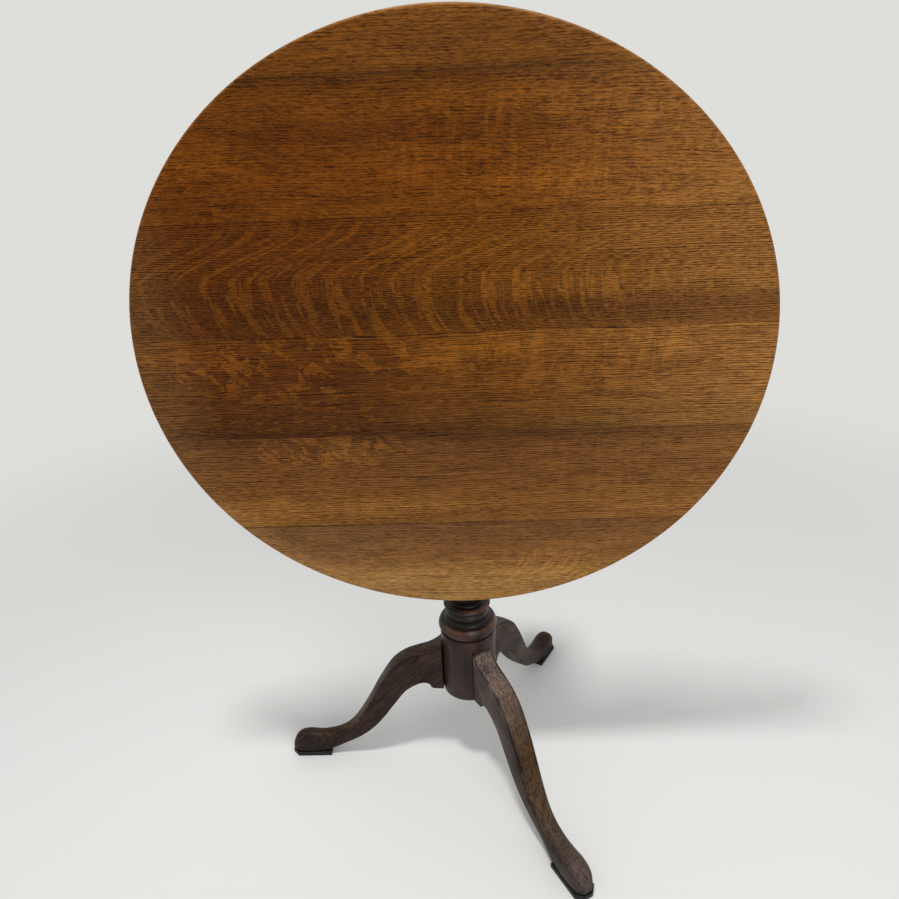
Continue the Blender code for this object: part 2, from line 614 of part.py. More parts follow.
def leg_mesh(name, length, foot_width):
    """The leg lofted through its pattern, from the shoulder at the drum to the foot's nose."""
    knee, ankle = LEG_PATTERN_ANKLE
    across = length / LEG_PATTERN_SIZE[0]
    up = (LEG_RISE - FOOT_BASE) / LEG_PATTERN_SIZE[1]
    work = bmesh.new()
    rings = []
    for ux, uz, lx, lz, share, top_corner, bottom_corner in smooth_rows(LEG_PATTERN, 2):
        upper = Vector((SHOULDER + ux * across, 0.0, FOOT_BASE + max(uz, 0.0) * up))
        lower = Vector((SHOULDER + lx * across, 0.0, FOOT_BASE + max(lz, 0.0) * up))
        rise = upper - lower
        towards_foot = min(max((lx - knee) / (ankle - knee), 0.0), 1.0)
        width = share * (LEG_THICKNESS + (foot_width - LEG_THICKNESS) * towards_foot)
        crown = LEG_CROWN * max(0.0, 1 - top_corner / 8)
        section = leg_section(width, rise.length, top_corner / 1000, bottom_corner / 1000, crown)
        axis = rise.normalized()
        rings.append([work.verts.new(lower + axis * z + Vector((0.0, x, 0.0))) for x, z in section])
    for ring, after in zip(rings, rings[1:]):
        for i in range(len(ring)):
            j = (i + 1) % len(ring)
            work.faces.new((ring[i], ring[j], after[j], after[i]))
    work.faces.new(rings[0][::-1])
    work.faces.new(rings[-1])
    bmesh.ops.recalc_face_normals(work, faces=work.faces)
    mesh = bpy.data.meshes.new(name)
    work.to_mesh(mesh)
    work.free()
    return mesh


def legs():
    for name, azimuth in LEG_AZIMUTHS.items():
        reach = LEG_REACH + (FRONT_LEG_EXTRA if name == "front" else 0.0)
        leg = place(leg_mesh("leg", reach - SHOULDER, FOOT_WIDTHS[name]), f"leg_{name}")
        leg.rotation_euler = (0.0, 0.0, radians(azimuth))
        stop = LEG_RISE - DOVETAIL_STOP
        tongue = dovetail_mesh("dovetail", 0.0, LEG_BOTTOM + 0.001, stop)
        cut(leg, tongue, operation="UNION")
        finish(leg, DARK_OAK, 0.45)
        round_shading(leg, 40.0)

        end = reach + PAD_OVERHANG
        half = FOOT_WIDTHS[name] / 2 + PAD_PROUD
        outline = [(end - PAD_LENGTH, -half), (end - PAD_CHAMFER, -half), (end, -half + PAD_CHAMFER),
                   (end, half - PAD_CHAMFER), (end - PAD_CHAMFER, half), (end - PAD_LENGTH, half)]
        pad = place(slab_mesh("pad", outline, PAD_THICKNESS), f"pad_{name}")
        pad.data.transform(Matrix.Translation((0.0, 0.0, PAD_THICKNESS / 2)))
        pad.rotation_euler = (0.0, 0.0, radians(azimuth))
        edges = pad.modifiers.new("eased_edges", "BEVEL")
        edges.width = 0.0008
        edges.segments = 1
        finish(pad, EBONY, 0.35)


# ---- brass catch under the top -----------------------------------------------
def catch_case():
    """Cast case open to the table top, with flanges for four screws."""
    half = CAVITY_HALF + CATCH_WALL
    back = CATCH_FRONT + CATCH_LENGTH
    case = place(box_mesh("case", (-half, CATCH_FRONT, CATCH_BOTTOM), (half, back, CATCH_TOP)),
                 "catch_case", pivot)
    flange = CATCH_FLANGE_WIDTH / 2
    cut(case, box_mesh("flange", (-flange, CATCH_FRONT + 0.001, CATCH_TOP - CATCH_WALL),
                       (flange, back - 0.001, CATCH_TOP - 0.00002)), operation="UNION")
    tall = BOLT_HEIGHT / 2 + GAP
    cut(case, box_mesh("cavity", (-CAVITY_HALF, CATCH_FRONT + CATCH_WALL, BOLT_RISE - tall),
                       (CAVITY_HALF, back - CATCH_WALL, CATCH_TOP + 0.01)))
    cut(case, box_mesh("front_hole", (-CAVITY_HALF + 0.00001, CATCH_FRONT - 0.01, BOLT_RISE - tall),
                       (CAVITY_HALF - 0.00001, CATCH_FRONT + 2 * CATCH_WALL, BOLT_RISE + tall)))
    stem = KNOB_STEM_RADIUS + GAP
    cut(case, box_mesh("knob_slot", (-stem, KNOB_Y - stem, CATCH_BOTTOM - 0.01),
                       (stem, KNOB_Y + BOLT_TRAVEL + stem, BOLT_RISE)))
    screw = screw_mesh("catch_screw", SMALL_SCREW_LENGTH, SMALL_SCREW_SCALE)
    flip = Matrix.Rotation(pi, 4, "X")
    number = 0
    for x in (-1, 1):
        for share in (CATCH_SCREW_INSET, 1 - CATCH_SCREW_INSET):
            y = CATCH_FRONT + CATCH_LENGTH * share
            number += 1
            spot = Vector((x * (flange + half) / 2, y, CATCH_TOP - CATCH_WALL))
            screw_hole(case, SMALL_SCREW_LENGTH, SMALL_SCREW_SCALE, Matrix.Translation(spot) @ flip)
            piece = place(screw.copy(), f"catch_screw_{number}", pivot)
            piece.location = spot
            piece.rotation_euler = (pi, 0.0, 0.0)
            finish(piece, BRASS, 0.4, 1.0)
            round_shading(piece)
            hole = rod_mesh("catch_pilot", SCREW_SHANK_RADIUS * SMALL_SCREW_SCALE + GAP,
                            -TOP_THICKNESS, SMALL_SCREW_LENGTH - CATCH_WALL + GAP, 12)
            for index, (low, high) in enumerate(board_spans()):
                if low < y - PIVOT_OFFSET < high:
                    board = bpy.data.objects[f"top_board_{index + 1}"]
                    place_in_board = Vector((spot.x, y - PIVOT_OFFSET, -TOP_THICKNESS / 2))
                    cut(board, hole, Matrix.Translation(place_in_board))
    finish(case, BRASS, 0.4, 1.0)


def catch_bolt():
    """Sliding bolt with a ramped nose, its knob and the spring behind it."""
    tall = BOLT_HEIGHT / 2
    ramp = BOLT_ENTRY * 0.8
    outline = [(0.0, tall), (BOLT_LENGTH, tall), (BOLT_LENGTH, -tall), (ramp, -tall),
               (0.0, tall - 0.0015)]
    mesh = slab_mesh("bolt", outline, BOLT_WIDTH)
    mesh.transform(ACROSS)
    bolt = place(mesh, "catch_bolt", bolt_guide)
    knob_place = KNOB_Y - BOLT_NOSE
    socket = rod_mesh("knob_socket", KNOB_STEM_RADIUS + GAP, -0.02, 0.0, 16)
    cut(bolt, socket, Matrix.Translation((0.0, knob_place, tall - 0.002)))
    finish(bolt, BRASS, 0.35, 1.0)

    radius = KNOB_RADIUS
    stem = KNOB_STEM_RADIUS
    top = CATCH_BOTTOM - BOLT_RISE - KNOB_BELOW_CASE
    low = top - KNOB_HEIGHT
    neck = low + KNOB_HEIGHT * 0.7
    line = [(0.0, low), (radius * 0.6, low)]
    line += bend(line[-1], (radius * 1.1, low + 0.001), (radius, low + KNOB_HEIGHT * 0.45), 4)
    line += bend(line[-1], (radius * 0.7, low + KNOB_HEIGHT * 0.6), (stem * 1.5, neck), 3)
    line += [(stem * 1.5, top), (stem, top)]
    line += [(stem, tall - 0.002 - GAP), (0.0, tall - 0.002 - GAP)]
    knob = place(turned_mesh("knob", line, 20), "catch_knob", bolt_guide)
    knob.location = (0.0, knob_place, 0.0)
    finish(knob, BRASS, 0.3, 1.0)
    round_shading(knob)

    start = BOLT_NOSE + BOLT_LENGTH + GAP + SPRING_WIRE / 2
    end = CATCH_FRONT + CATCH_LENGTH - CATCH_WALL - GAP - SPRING_WIRE / 2
    curve = bpy.data.curves.new("catch_spring", "CURVE")
    curve.dimensions = "3D"
    curve.bevel_depth = SPRING_WIRE / 2
    curve.bevel_resolution = 1
    curve.use_fill_caps = True
    per_turn = 12
    count = SPRING_TURNS * per_turn + 1
    line = curve.splines.new("POLY")
    line.points.add(count - 1)
    for i, point in enumerate(line.points):
        angle = 2 * pi * i / per_turn
        along = start + (end - start) * i / (count - 1)
        point.co = (SPRING_RADIUS * cos(angle), along, BOLT_RISE + SPRING_RADIUS * sin(angle), 1.0)
    spring = place(frozen(place(curve, "coil")), "catch_spring", pivot)
    finish(spring, STEEL, 0.35, 1.0)
    spring.data.shade_smooth()


top_boards()
bearers()
block()
pivot_dowels()
strike()
column()
legs()
catch_case()
catch_bolt()
print(f"tip pivot {PIVOT_OFFSET:.4f} in front, {PIVOT_HEIGHT:.4f} up; "
      f"tipped {TIP_ANGLE:.2f} degrees; shoulder {SHOULDER:.4f}")
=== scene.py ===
import json
from math import cos, pi, radians, sin

import bmesh
import bpy
from mathutils import Matrix, Vector


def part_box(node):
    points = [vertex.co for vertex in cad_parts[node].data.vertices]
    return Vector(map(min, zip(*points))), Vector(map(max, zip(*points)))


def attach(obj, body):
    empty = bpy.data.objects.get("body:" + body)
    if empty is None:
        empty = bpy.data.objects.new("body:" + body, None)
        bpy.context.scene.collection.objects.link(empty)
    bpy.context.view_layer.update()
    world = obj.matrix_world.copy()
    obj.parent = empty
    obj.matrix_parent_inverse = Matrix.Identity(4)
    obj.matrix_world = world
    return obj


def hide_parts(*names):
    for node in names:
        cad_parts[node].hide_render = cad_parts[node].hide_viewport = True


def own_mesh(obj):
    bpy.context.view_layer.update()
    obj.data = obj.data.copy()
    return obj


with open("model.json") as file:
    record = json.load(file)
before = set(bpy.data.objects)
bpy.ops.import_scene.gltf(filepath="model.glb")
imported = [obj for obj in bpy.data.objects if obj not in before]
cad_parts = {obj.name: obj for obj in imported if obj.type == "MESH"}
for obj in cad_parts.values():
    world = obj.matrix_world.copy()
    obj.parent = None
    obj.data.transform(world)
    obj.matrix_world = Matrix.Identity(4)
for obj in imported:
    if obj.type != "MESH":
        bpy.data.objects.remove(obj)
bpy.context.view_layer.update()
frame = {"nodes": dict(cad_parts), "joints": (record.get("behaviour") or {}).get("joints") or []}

print("frame loaded")

# the top lies level in this frame: x along the pivots and the grain, y to the back, z up,
# with the pivot axis at its origin; at rest it is tipped up
tilt = [joint for joint in frame["joints"] if joint["name"] == "top_tilt"][0]
pivotPoint = Vector(tilt["pos_m"])
tipAngle = radians(tilt["range_deg"][1])
levelFrame = Matrix.Translation(pivotPoint) @ Matrix.Rotation(tipAngle, 4, "X")


def levelBox(node):
    # lowest and highest corner of a CAD node in the top's own frame
    back = levelFrame.inverted()
    corners = [back @ vertex.co for vertex in frame["nodes"][node].data.vertices]
    low = Vector([min(c[i] for c in corners) for i in range(3)])
    high = Vector([max(c[i] for c in corners) for i in range(3)])
    return low, high


def tone(red, green, blue):
    # a colour as a paint chart gives it, 0 to 255, for a colour socket
    def linear(c):
        c = c / 255
        return c / 12.92 if c <= 0.04045 else ((c + 0.055) / 1.055) ** 2.4
    return (linear(red), linear(green), linear(blue), 1.0)


class Wire:
    # what comes out of a shader node, to be reckoned with like a number
    def __init__(self, socket):
        self.socket = socket

    def __add__(self, other):
        return calc("ADD", self, other)

    def __sub__(self, other):
        return calc("SUBTRACT", self, other)

    def __rsub__(self, other):
        return calc("SUBTRACT", other, self)

    def __mul__(self, other):
        return calc("MULTIPLY", self, other)

    __radd__ = __add__
    __rmul__ = __mul__


def aboutZ(degrees):
    return Matrix.Rotation(radians(degrees), 4, "Z")


def hung(node):
    # where a CAD node starts under the top, and how long it is from there
    low, high = levelBox(node)
    middle = (low + high) / 2
    return levelFrame @ Matrix.Translation((middle.x, middle.y, low.z)), high.z - low.z


def put(kind, inputs, output=0, tree=None, **settings):
    # a new node; its tree is the one its wires come from, unless it is given
    wires = {key: value.socket for key, value in inputs.items() if isinstance(value, Wire)}
    for socket in wires.values():
        tree = socket.id_data
    node = tree.nodes.new("ShaderNode" + kind)
    for name, value in settings.items():
        setattr(node, name, value)
    for key, value in inputs.items():
        if key in wires:
            tree.links.new(wires[key], node.inputs[key])
        else:
            node.inputs[key].default_value = value
    return Wire(node.outputs[output])


def feed(wire, socket):
    socket.id_data.links.new(wire.socket, socket)


def calc(operation, *values):
    return put("Math", dict(enumerate(values)), operation=operation)


def combined(*values):
    return put("CombineXYZ", dict(enumerate(values)))


def separated(vector):
    return [Wire(output) for output in put("SeparateXYZ", {0: vector}).socket.node.outputs]


def vectorLength(vector):
    return put("VectorMath", {0: vector}, "Value", operation="LENGTH")


def stretch(vector, size, shift=(0.0, 0.0, 0.0), turn=(0.0, 0.0, 0.0)):
    # size is how many millimetres one unit of the texture covers each way
    scale = [1 / s for s in size]
    turned = put("Mapping", {"Vector": vector, "Rotation": turn})
    return put("Mapping", {"Vector": turned, "Location": shift, "Scale": scale})


def noise(vector, size, shift, detail, rough=0.5, turn=(0.0, 0.0, 0.0), distort=0.0):
    inputs = {"Vector": stretch(vector, size, shift, turn), "Scale": 1.0, "Detail": detail,
              "Roughness": rough, "Distortion": distort}
    return put("TexNoise", inputs)


def mapped(value, low, high, start=0.0, end=1.0, kind="LINEAR"):
    # from start to end as the value goes from low to high
    return put("MapRange", {0: value, 1: low, 2: high, 3: start, 4: end}, interpolation_type=kind)


def fade(value, low, high, start=0.0, end=1.0):
    return mapped(value, low, high, start, end, "SMOOTHSTEP")


def ramp(value, stops):
    result = put("ValToRGB", {0: value})
    marks = result.socket.node.color_ramp.elements
    while len(marks) < len(stops):
        marks.new(0.5)
    for mark, (position, colour) in zip(marks, stops):
        mark.position = position
        mark.color = colour
    return result


def blend(factor, first, second, how="MIX"):
    return put("Mix", {0: factor, 6: first, 7: second}, 2, data_type="RGBA", blend_type=how)


def tinted(colour, tint):
    return blend(1.0, colour, tint, "MULTIPLY")


def dimmed(colour, value):
    return tinted(colour, put("CombineColor", {0: value, 1: value, 2: value}))


def shaded(colour, shade, weights=(1.0, 1.0, 1.0)):
    # brighter or darker by the shade, each channel by its own weight
    parts = [shade * weight + 1.0 for weight in weights]
    return tinted(colour, put("CombineColor", dict(enumerate(parts))))


def newFinish(name):
    material = bpy.data.materials.new(name)
    material.use_nodes = True
    return material, material.node_tree.nodes["Principled BSDF"]


def millimetres(shader, turn=0.0):
    # the piece's own place, seen along its length where it stands turned about z
    place = put("TexCoord", {}, "Object", shader.id_data)
    settings = {"Vector": place, "Rotation": (0.0, 0.0, -turn), "Scale": (1000.0, 1000.0, 1000.0)}
    return put("Mapping", settings)


def attribute(shader, name):
    return put("Attribute", {}, "Fac", shader.id_data, attribute_name=name)


def surface(shader, colour, roughness, height, depth, specular=0.5):
    feed(colour, shader.inputs["Base Color"])
    feed(roughness, shader.inputs["Roughness"])
    bump = put("Bump", {"Height": height, "Strength": 1.0, "Distance": depth})
    feed(bump, shader.inputs["Normal"])
    shader.inputs["Specular IOR Level"].default_value = specular


def newMesh(name, work):
    bmesh.ops.recalc_face_normals(work, faces=work.faces)
    mesh = bpy.data.meshes.new(name)
    work.to_mesh(mesh)
    work.free()
    return mesh


def arc(start, control, end, steps):
    # a curved stretch of a profile, without its first point
    points = []
    for step in range(1, steps + 1):
        t = step / steps
        points.append(tuple((1 - t) ** 2 * a + 2 * t * (1 - t) * b + t * t * c
                            for a, b, c in zip(start, control, end)))
    return points


def turned(profile, segments):
    # a solid turned about z from (radius, height) points, bottom to top
    work = bmesh.new()
    rings = []
    for radius, height in profile:
        if radius < 0.00001:
            rings.append([work.verts.new((0.0, 0.0, height))])
            continue
        steps = [2 * pi * i / segments for i in range(segments)]
        rings.append([work.verts.new((radius * cos(a), radius * sin(a), height)) for a in steps])
    for ring, after in zip(rings, rings[1:]):
        for i in range(segments):
            j = (i + 1) % segments
            corners = [ring[i % len(ring)], ring[j % len(ring)],
                       after[j % len(after)], after[i % len(after)]]
            work.faces.new(list(dict.fromkeys(corners)))
    return work


def boxWork(low, high):
    work = bmesh.new()
    bmesh.ops.create_cube(work, size=1.0)
    bmesh.ops.scale(work, vec=[b - a for a, b in zip(low, high)], verts=work.verts)
    bmesh.ops.translate(work, vec=[(a + b) / 2 for a, b in zip(low, high)], verts=work.verts)
    return work


def slabWork(outline, low, high):
    # an outline in x and y, from z low to z high
    work = bmesh.new()
    bottom = [work.verts.new((x, y, low)) for x, y in outline]
    top = [work.verts.new((x, y, high)) for x, y in outline]
    work.faces.new(bottom)
    work.faces.new(top)
    for i in range(len(outline)):
        j = (i + 1) % len(outline)
        work.faces.new((bottom[i], bottom[j], top[j], top[i]))
    return work


def link(name, data):
    made = bpy.data.objects.new(name, data)
    bpy.context.scene.collection.objects.link(made)
    return made


def smoothShading(piece, angle=30.0):
    piece.data.shade_smooth()
    piece.data.set_sharp_from_angle(angle=radians(angle))


def addPiece(name, mesh, place, body, finish, node, angle=30.0):
    piece = link(name, mesh)
    piece.matrix_world = place
    mesh.materials.clear()
    mesh.materials.append(finish)
    smoothShading(piece, angle)
    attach(piece, body)
    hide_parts(node)
    return piece


def carve(piece, mesh, place, operation="DIFFERENCE"):
    # cuts a mesh out of the piece, or joins it on, and keeps only the result
    tool = link("tool", mesh)
    tool.matrix_world = place
    step = piece.modifiers.new("carve", "BOOLEAN")
    step.operation = operation
    step.object = tool
    bpy.context.view_layer.update()
    result = piece.evaluated_get(bpy.context.evaluated_depsgraph_get())
    shaped = bpy.data.meshes.new_from_object(result)
    piece.modifiers.remove(step)
    piece.data = shaped
    bpy.data.objects.remove(tool)


def softenEdges(piece, width, segments=2, angle=35.0):
    bevel = piece.modifiers.new("worn edges", "BEVEL")
    bevel.width = width
    bevel.segments = segments
    bevel.angle_limit = radians(angle)
    bevel.harden_normals = False


topLook = {
    "segments": 288,
    "rimWear": 0.0020,            # how far the rim's arrises are rounded
    "cadSeam": 0.00030,           # the solid boards stand this far apart,
    "seamGap": 0.00008,           # these only this far
    "seamEase": 0.00018,
    "roughness": 0.42,
    "underRoughness": 0.32,       # added where the underside was never polished
    "specular": 0.06,
    "bump": 0.00006,
    "broadWeights": (0.88, 1.04, 1.0),
    "grainWeights": (0.95, 1.0, 0.95),
    # the next two spans lay painted light across the top: a tint at its left and a painted sheen paling its
    # right
    "leftPaintedLight": (-170.0, 60.0),   # millimetres from here on, all of them
    "rightPaintedSheen": (10.0, 430.0),
    # where a painted sheen lies on the top's far left and its lower left
    "leftSheen": (-395.0, -290.0, 0.18),
    "lowSheen": (-565.0, -490.0, 0.40),
    "palerRim": (2.6, 0.6),
    "seamReach": (0.3, 1.6),
    "underside": (-9.8, -8.4),
    # pale is the tone of the painted sheen on the right
    "pale": tone(158, 112, 60),
    # the tone of the painted sheen at the far left and lower left
    "paintedSheenTone": tone(146, 109, 67),
    "flake": tone(150, 92, 20),
    "rim": tone(150, 112, 70),
    "darkening": tone(38, 22, 12),
    "dry": [(0.3, tone(100, 74, 48)), (0.55, tone(128, 98, 66)), (0.75, tone(142, 112, 78))],
    "dryPore": tone(48, 34, 24),
}

# what one unit of each mark covers in millimetres, along, across and into the board,
# and how much each one darkens or lifts the board's tone
grainLook = {
    "wander": (190, 75, 60),
    "ripple": (26, 9, 20),
    "rippleDepth": 1.8,
    "spacing": (420, 11, 60),
    "spacingDepth": 2.6,
    "breaks": (34, 4, 20),
    "rings": (95, 2.6, 22),
    "dashes": (15, 1.1, 1.4),
    "pores": (7.0, 0.9, 1.1),
    "clouds": (60, 16, 30),
    "lineDepth": 0.76,
    "ringDepth": 0.15,
    "dashDepth": 0.36,
    "poreDepth": 0.42,
    "flakeLift": 0.48,
    "outlineDepth": 0.30,
    "lift": 0.12,
    "darkest": -0.82,
    "sweepRise": (8, 68),
}


def ray(wide, tall, centre, reach, amount, low, high, slant=0.0, sweep=0.0, bow=0.0, beat=0.0):
    # one patch of silver rays; low and high set how much of it they cover and how crisp they are
    return {"wide": wide, "tall": tall, "centre": centre, "reach": reach, "amount": amount, "low": low,
            "high": high, "slant": slant, "sweep": sweep, "bow": bow, "beat": beat}


# one entry for each board, the lowest as tipped first; lengths in millimetres,
# x along the grain from the middle of the top, y up the tipped face;
# tones run up the board and stain tints it; left tints it with painted light at its left,
# right is how far a painted sheen pales it; a band is its middle, its reach, its half width and how far it
# lifts the tone
boardLooks = [
    {
        "tones": [(0.0, tone(147, 109, 63)), (0.35, tone(140, 101, 57)), (0.6, tone(124, 84, 46)),
                  (0.9, tone(106, 70, 39)), (1.0, tone(100, 65, 36))],
        "left": (1.04, 1.08, 1.18, 1.0), "right": 0.115, "shift": 3.1, "wander": 16.0, "slope": 0.015,
        "pitch": 3.9, "lines": 0.45, "dashes": 0.85, "run": 0.75, "topSeam": 0.9, "lowSeam": 0.0,
        "stain": (0.88, 0.86, 0.76, 1.0),
        "bands": [(-120, -300, 300, 26, -0.10), (40, -345, 260, 24, 0.12)],
        "rays": [
            ray(wide=26, tall=3, centre=(-60, -340), reach=(260, 56), amount=0.7, low=0.52, high=0.60),
            ray(wide=7, tall=44, centre=(132, -330), reach=(84, 52), amount=1.0, low=0.51, high=0.57,
                slant=0.8, bow=-25.0, beat=14.0),
        ],
    },
    {
        "tones": [(0.0, tone(118, 77, 39)), (0.3, tone(114, 73, 37)), (0.55, tone(106, 66, 34)),
                  (0.85, tone(98, 60, 31)), (1.0, tone(84, 50, 26))],
        "left": tone(255, 255, 250), "right": 0.23, "shift": 17.7, "wander": 9.0, "slope": -0.01,
        "pitch": 3.3, "lines": 0.95, "dashes": 0.95, "run": 0.9, "topSeam": 0.2, "lowSeam": 0.15,
        "stain": (0.86, 0.85, 0.66, 1.0),
        "bands": [(130, -90, 330, 22, -0.20), (-300, -215, 130, 40, 0.30), (-90, -206, 210, 22, 0.25),
                  (330, -165, 140, 40, -0.12), (-146, -112, 46, 18, 0.26)],
        "rays": [
            ray(wide=16, tall=24, centre=(-175, -114), reach=(150, 38), amount=1.2, low=0.50, high=0.55,
                slant=-0.5),
            ray(wide=14, tall=4, centre=(-240, -185), reach=(230, 60), amount=0.65, low=0.54, high=0.61,
                slant=0.8),
            ray(wide=9, tall=60, centre=(190, -150), reach=(200, 64), amount=0.35, low=0.50, high=0.62),
        ],
    },
    {
        "tones": [(0.0, tone(82, 48, 24)), (0.12, tone(92, 55, 25)), (0.45, tone(102, 60, 24)),
                  (0.85, tone(108, 63, 22)), (1.0, tone(104, 61, 20))],
        "left": tone(214, 200, 205), "right": 0.437, "shift": 29.3, "wander": 9.0, "slope": 0.0,
        "pitch": 3.1, "lines": 1.05, "dashes": 0.95, "run": 0.75, "topSeam": 0.0, "lowSeam": 0.15,
        "stain": (0.86, 0.85, 0.53, 1.0),
        "bands": [(-120, -2, 200, 22, -0.14), (210, -2, 160, 20, -0.18), (-340, 40, 100, 40, 0.25),
                  (20, 35, 120, 24, 0.14)],
        "rays": [
            ray(wide=21, tall=26, centre=(-170, 12), reach=(300, 62), amount=1.15, low=0.51, high=0.56,
                slant=-0.4),
            ray(wide=18, tall=55, centre=(150, 14), reach=(260, 62), amount=0.6, low=0.50, high=0.56,
                slant=0.1),
            ray(wide=14, tall=5, centre=(-190, -60), reach=(290, 42), amount=0.8, low=0.53, high=0.60,
                slant=0.8),
        ],
    },
    {
        "tones": [(0.0, tone(96, 56, 20)), (0.2, tone(90, 52, 18)), (0.5, tone(101, 58, 18)),
                  (0.85, tone(100, 57, 17)), (1.0, tone(100, 56, 15))],
        "left": tone(216, 198, 205), "right": 0.391, "shift": 41.9, "wander": 8.0, "slope": 0.0,
        "pitch": 2.6, "lines": 1.05, "dashes": 1.15, "run": 0.6, "topSeam": 0.4, "lowSeam": 0.0,
        "stain": (0.87, 0.85, 0.46, 1.0),
        "bands": [(250, 74, 330, 32, -0.34), (-260, 118, 150, 26, -0.16), (-110, 168, 150, 20, 0.18),
                  (170, 165, 200, 20, 0.12), (10, 82, 180, 16, -0.12)],
        "rays": [
            ray(wide=10, tall=70, centre=(-70, 115), reach=(480, 105), amount=1.0, low=0.49, high=0.59,
                sweep=85.0, bow=10.0, beat=37.0),
        ],
    },
    {
        "tones": [(0.0, tone(102, 56, 14)), (0.3, tone(105, 56, 13)), (0.6, tone(100, 54, 15)),
                  (0.85, tone(104, 58, 20)), (1.0, tone(84, 47, 18))],
        "left": tone(244, 240, 245), "right": 0.437, "shift": 53.3, "wander": 14.0, "slope": 0.02,
        "pitch": 2.8, "lines": 0.55, "dashes": 1.0, "run": 0.5, "topSeam": 0.35, "lowSeam": 0.1,
        "stain": (0.88, 0.87, 0.46, 1.0),
        "bands": [(-50, 281, 240, 20, -0.26), (-290, 208, 120, 26, -0.22),
                  (250, 205, 140, 22, 0.20), (-300, 262, 110, 26, 0.25), (120, 232, 120, 20, 0.14)],
        "rays": [
            ray(wide=9, tall=60, centre=(110, 262), reach=(260, 80), amount=0.5, low=0.48, high=0.60,
                slant=0.1),
            ray(wide=26, tall=22, centre=(-310, 225), reach=(110, 60), amount=0.6, low=0.54, high=0.60,
                slant=0.5),
        ],
    },
    {
        "tones": [(0.0, tone(90, 52, 22)), (0.2, tone(102, 60, 26)), (1.0, tone(112, 69, 32))],
        "left": tone(255, 250, 235), "right": 0.2875, "shift": 67.1, "wander": 8.0, "slope": 0.0,
        "pitch": 3.1, "lines": 0.45, "dashes": 1.0, "run": 0.6, "topSeam": 0.0, "lowSeam": 0.2,
        "stain": (0.86, 0.84, 0.52, 1.0),
        "bands": [(30, 372, 200, 18, -0.12)],
        "rays": [],
    },
]


def raysIn(x, y, place, look, shift):
    # broad silver rays, brighter than the wood round them, with a thin dark outline
    middleX, middleY = look["centre"]
    rise = y - middleY
    swept = x - rise * look["slant"]
    if look["sweep"]:
        low, high = grainLook["sweepRise"]
        swept -= fade(y, middleY + low, middleY + high, 0.0, look["sweep"])
    swept -= rise * rise * (look["bow"] / 2000)
    across = combined(swept, y, shift)
    pattern = noise(across, (look["wide"], look["tall"], 1.0), (0, 0, 0), 3.0, 0.65, distort=0.3)
    if look["beat"]:
        beat = calc("SINE", swept * (2 * pi / look["beat"]))
        pattern += beat * 0.05
    flake = fade(pattern, look["low"], look["high"])
    edge = calc("ABSOLUTE", pattern - look["low"])
    outline = fade(edge, 0.0, 0.02, 1.0, 0.0)
    reachX, reachY = look["reach"]
    spot = stretch(place, (reachX, reachY, 1000.0), (-middleX / reachX, -middleY / reachY, 0.0))
    window = fade(vectorLength(spot), 0.45, 1.0, look["amount"], 0.0)
    return flake * window, outline * window


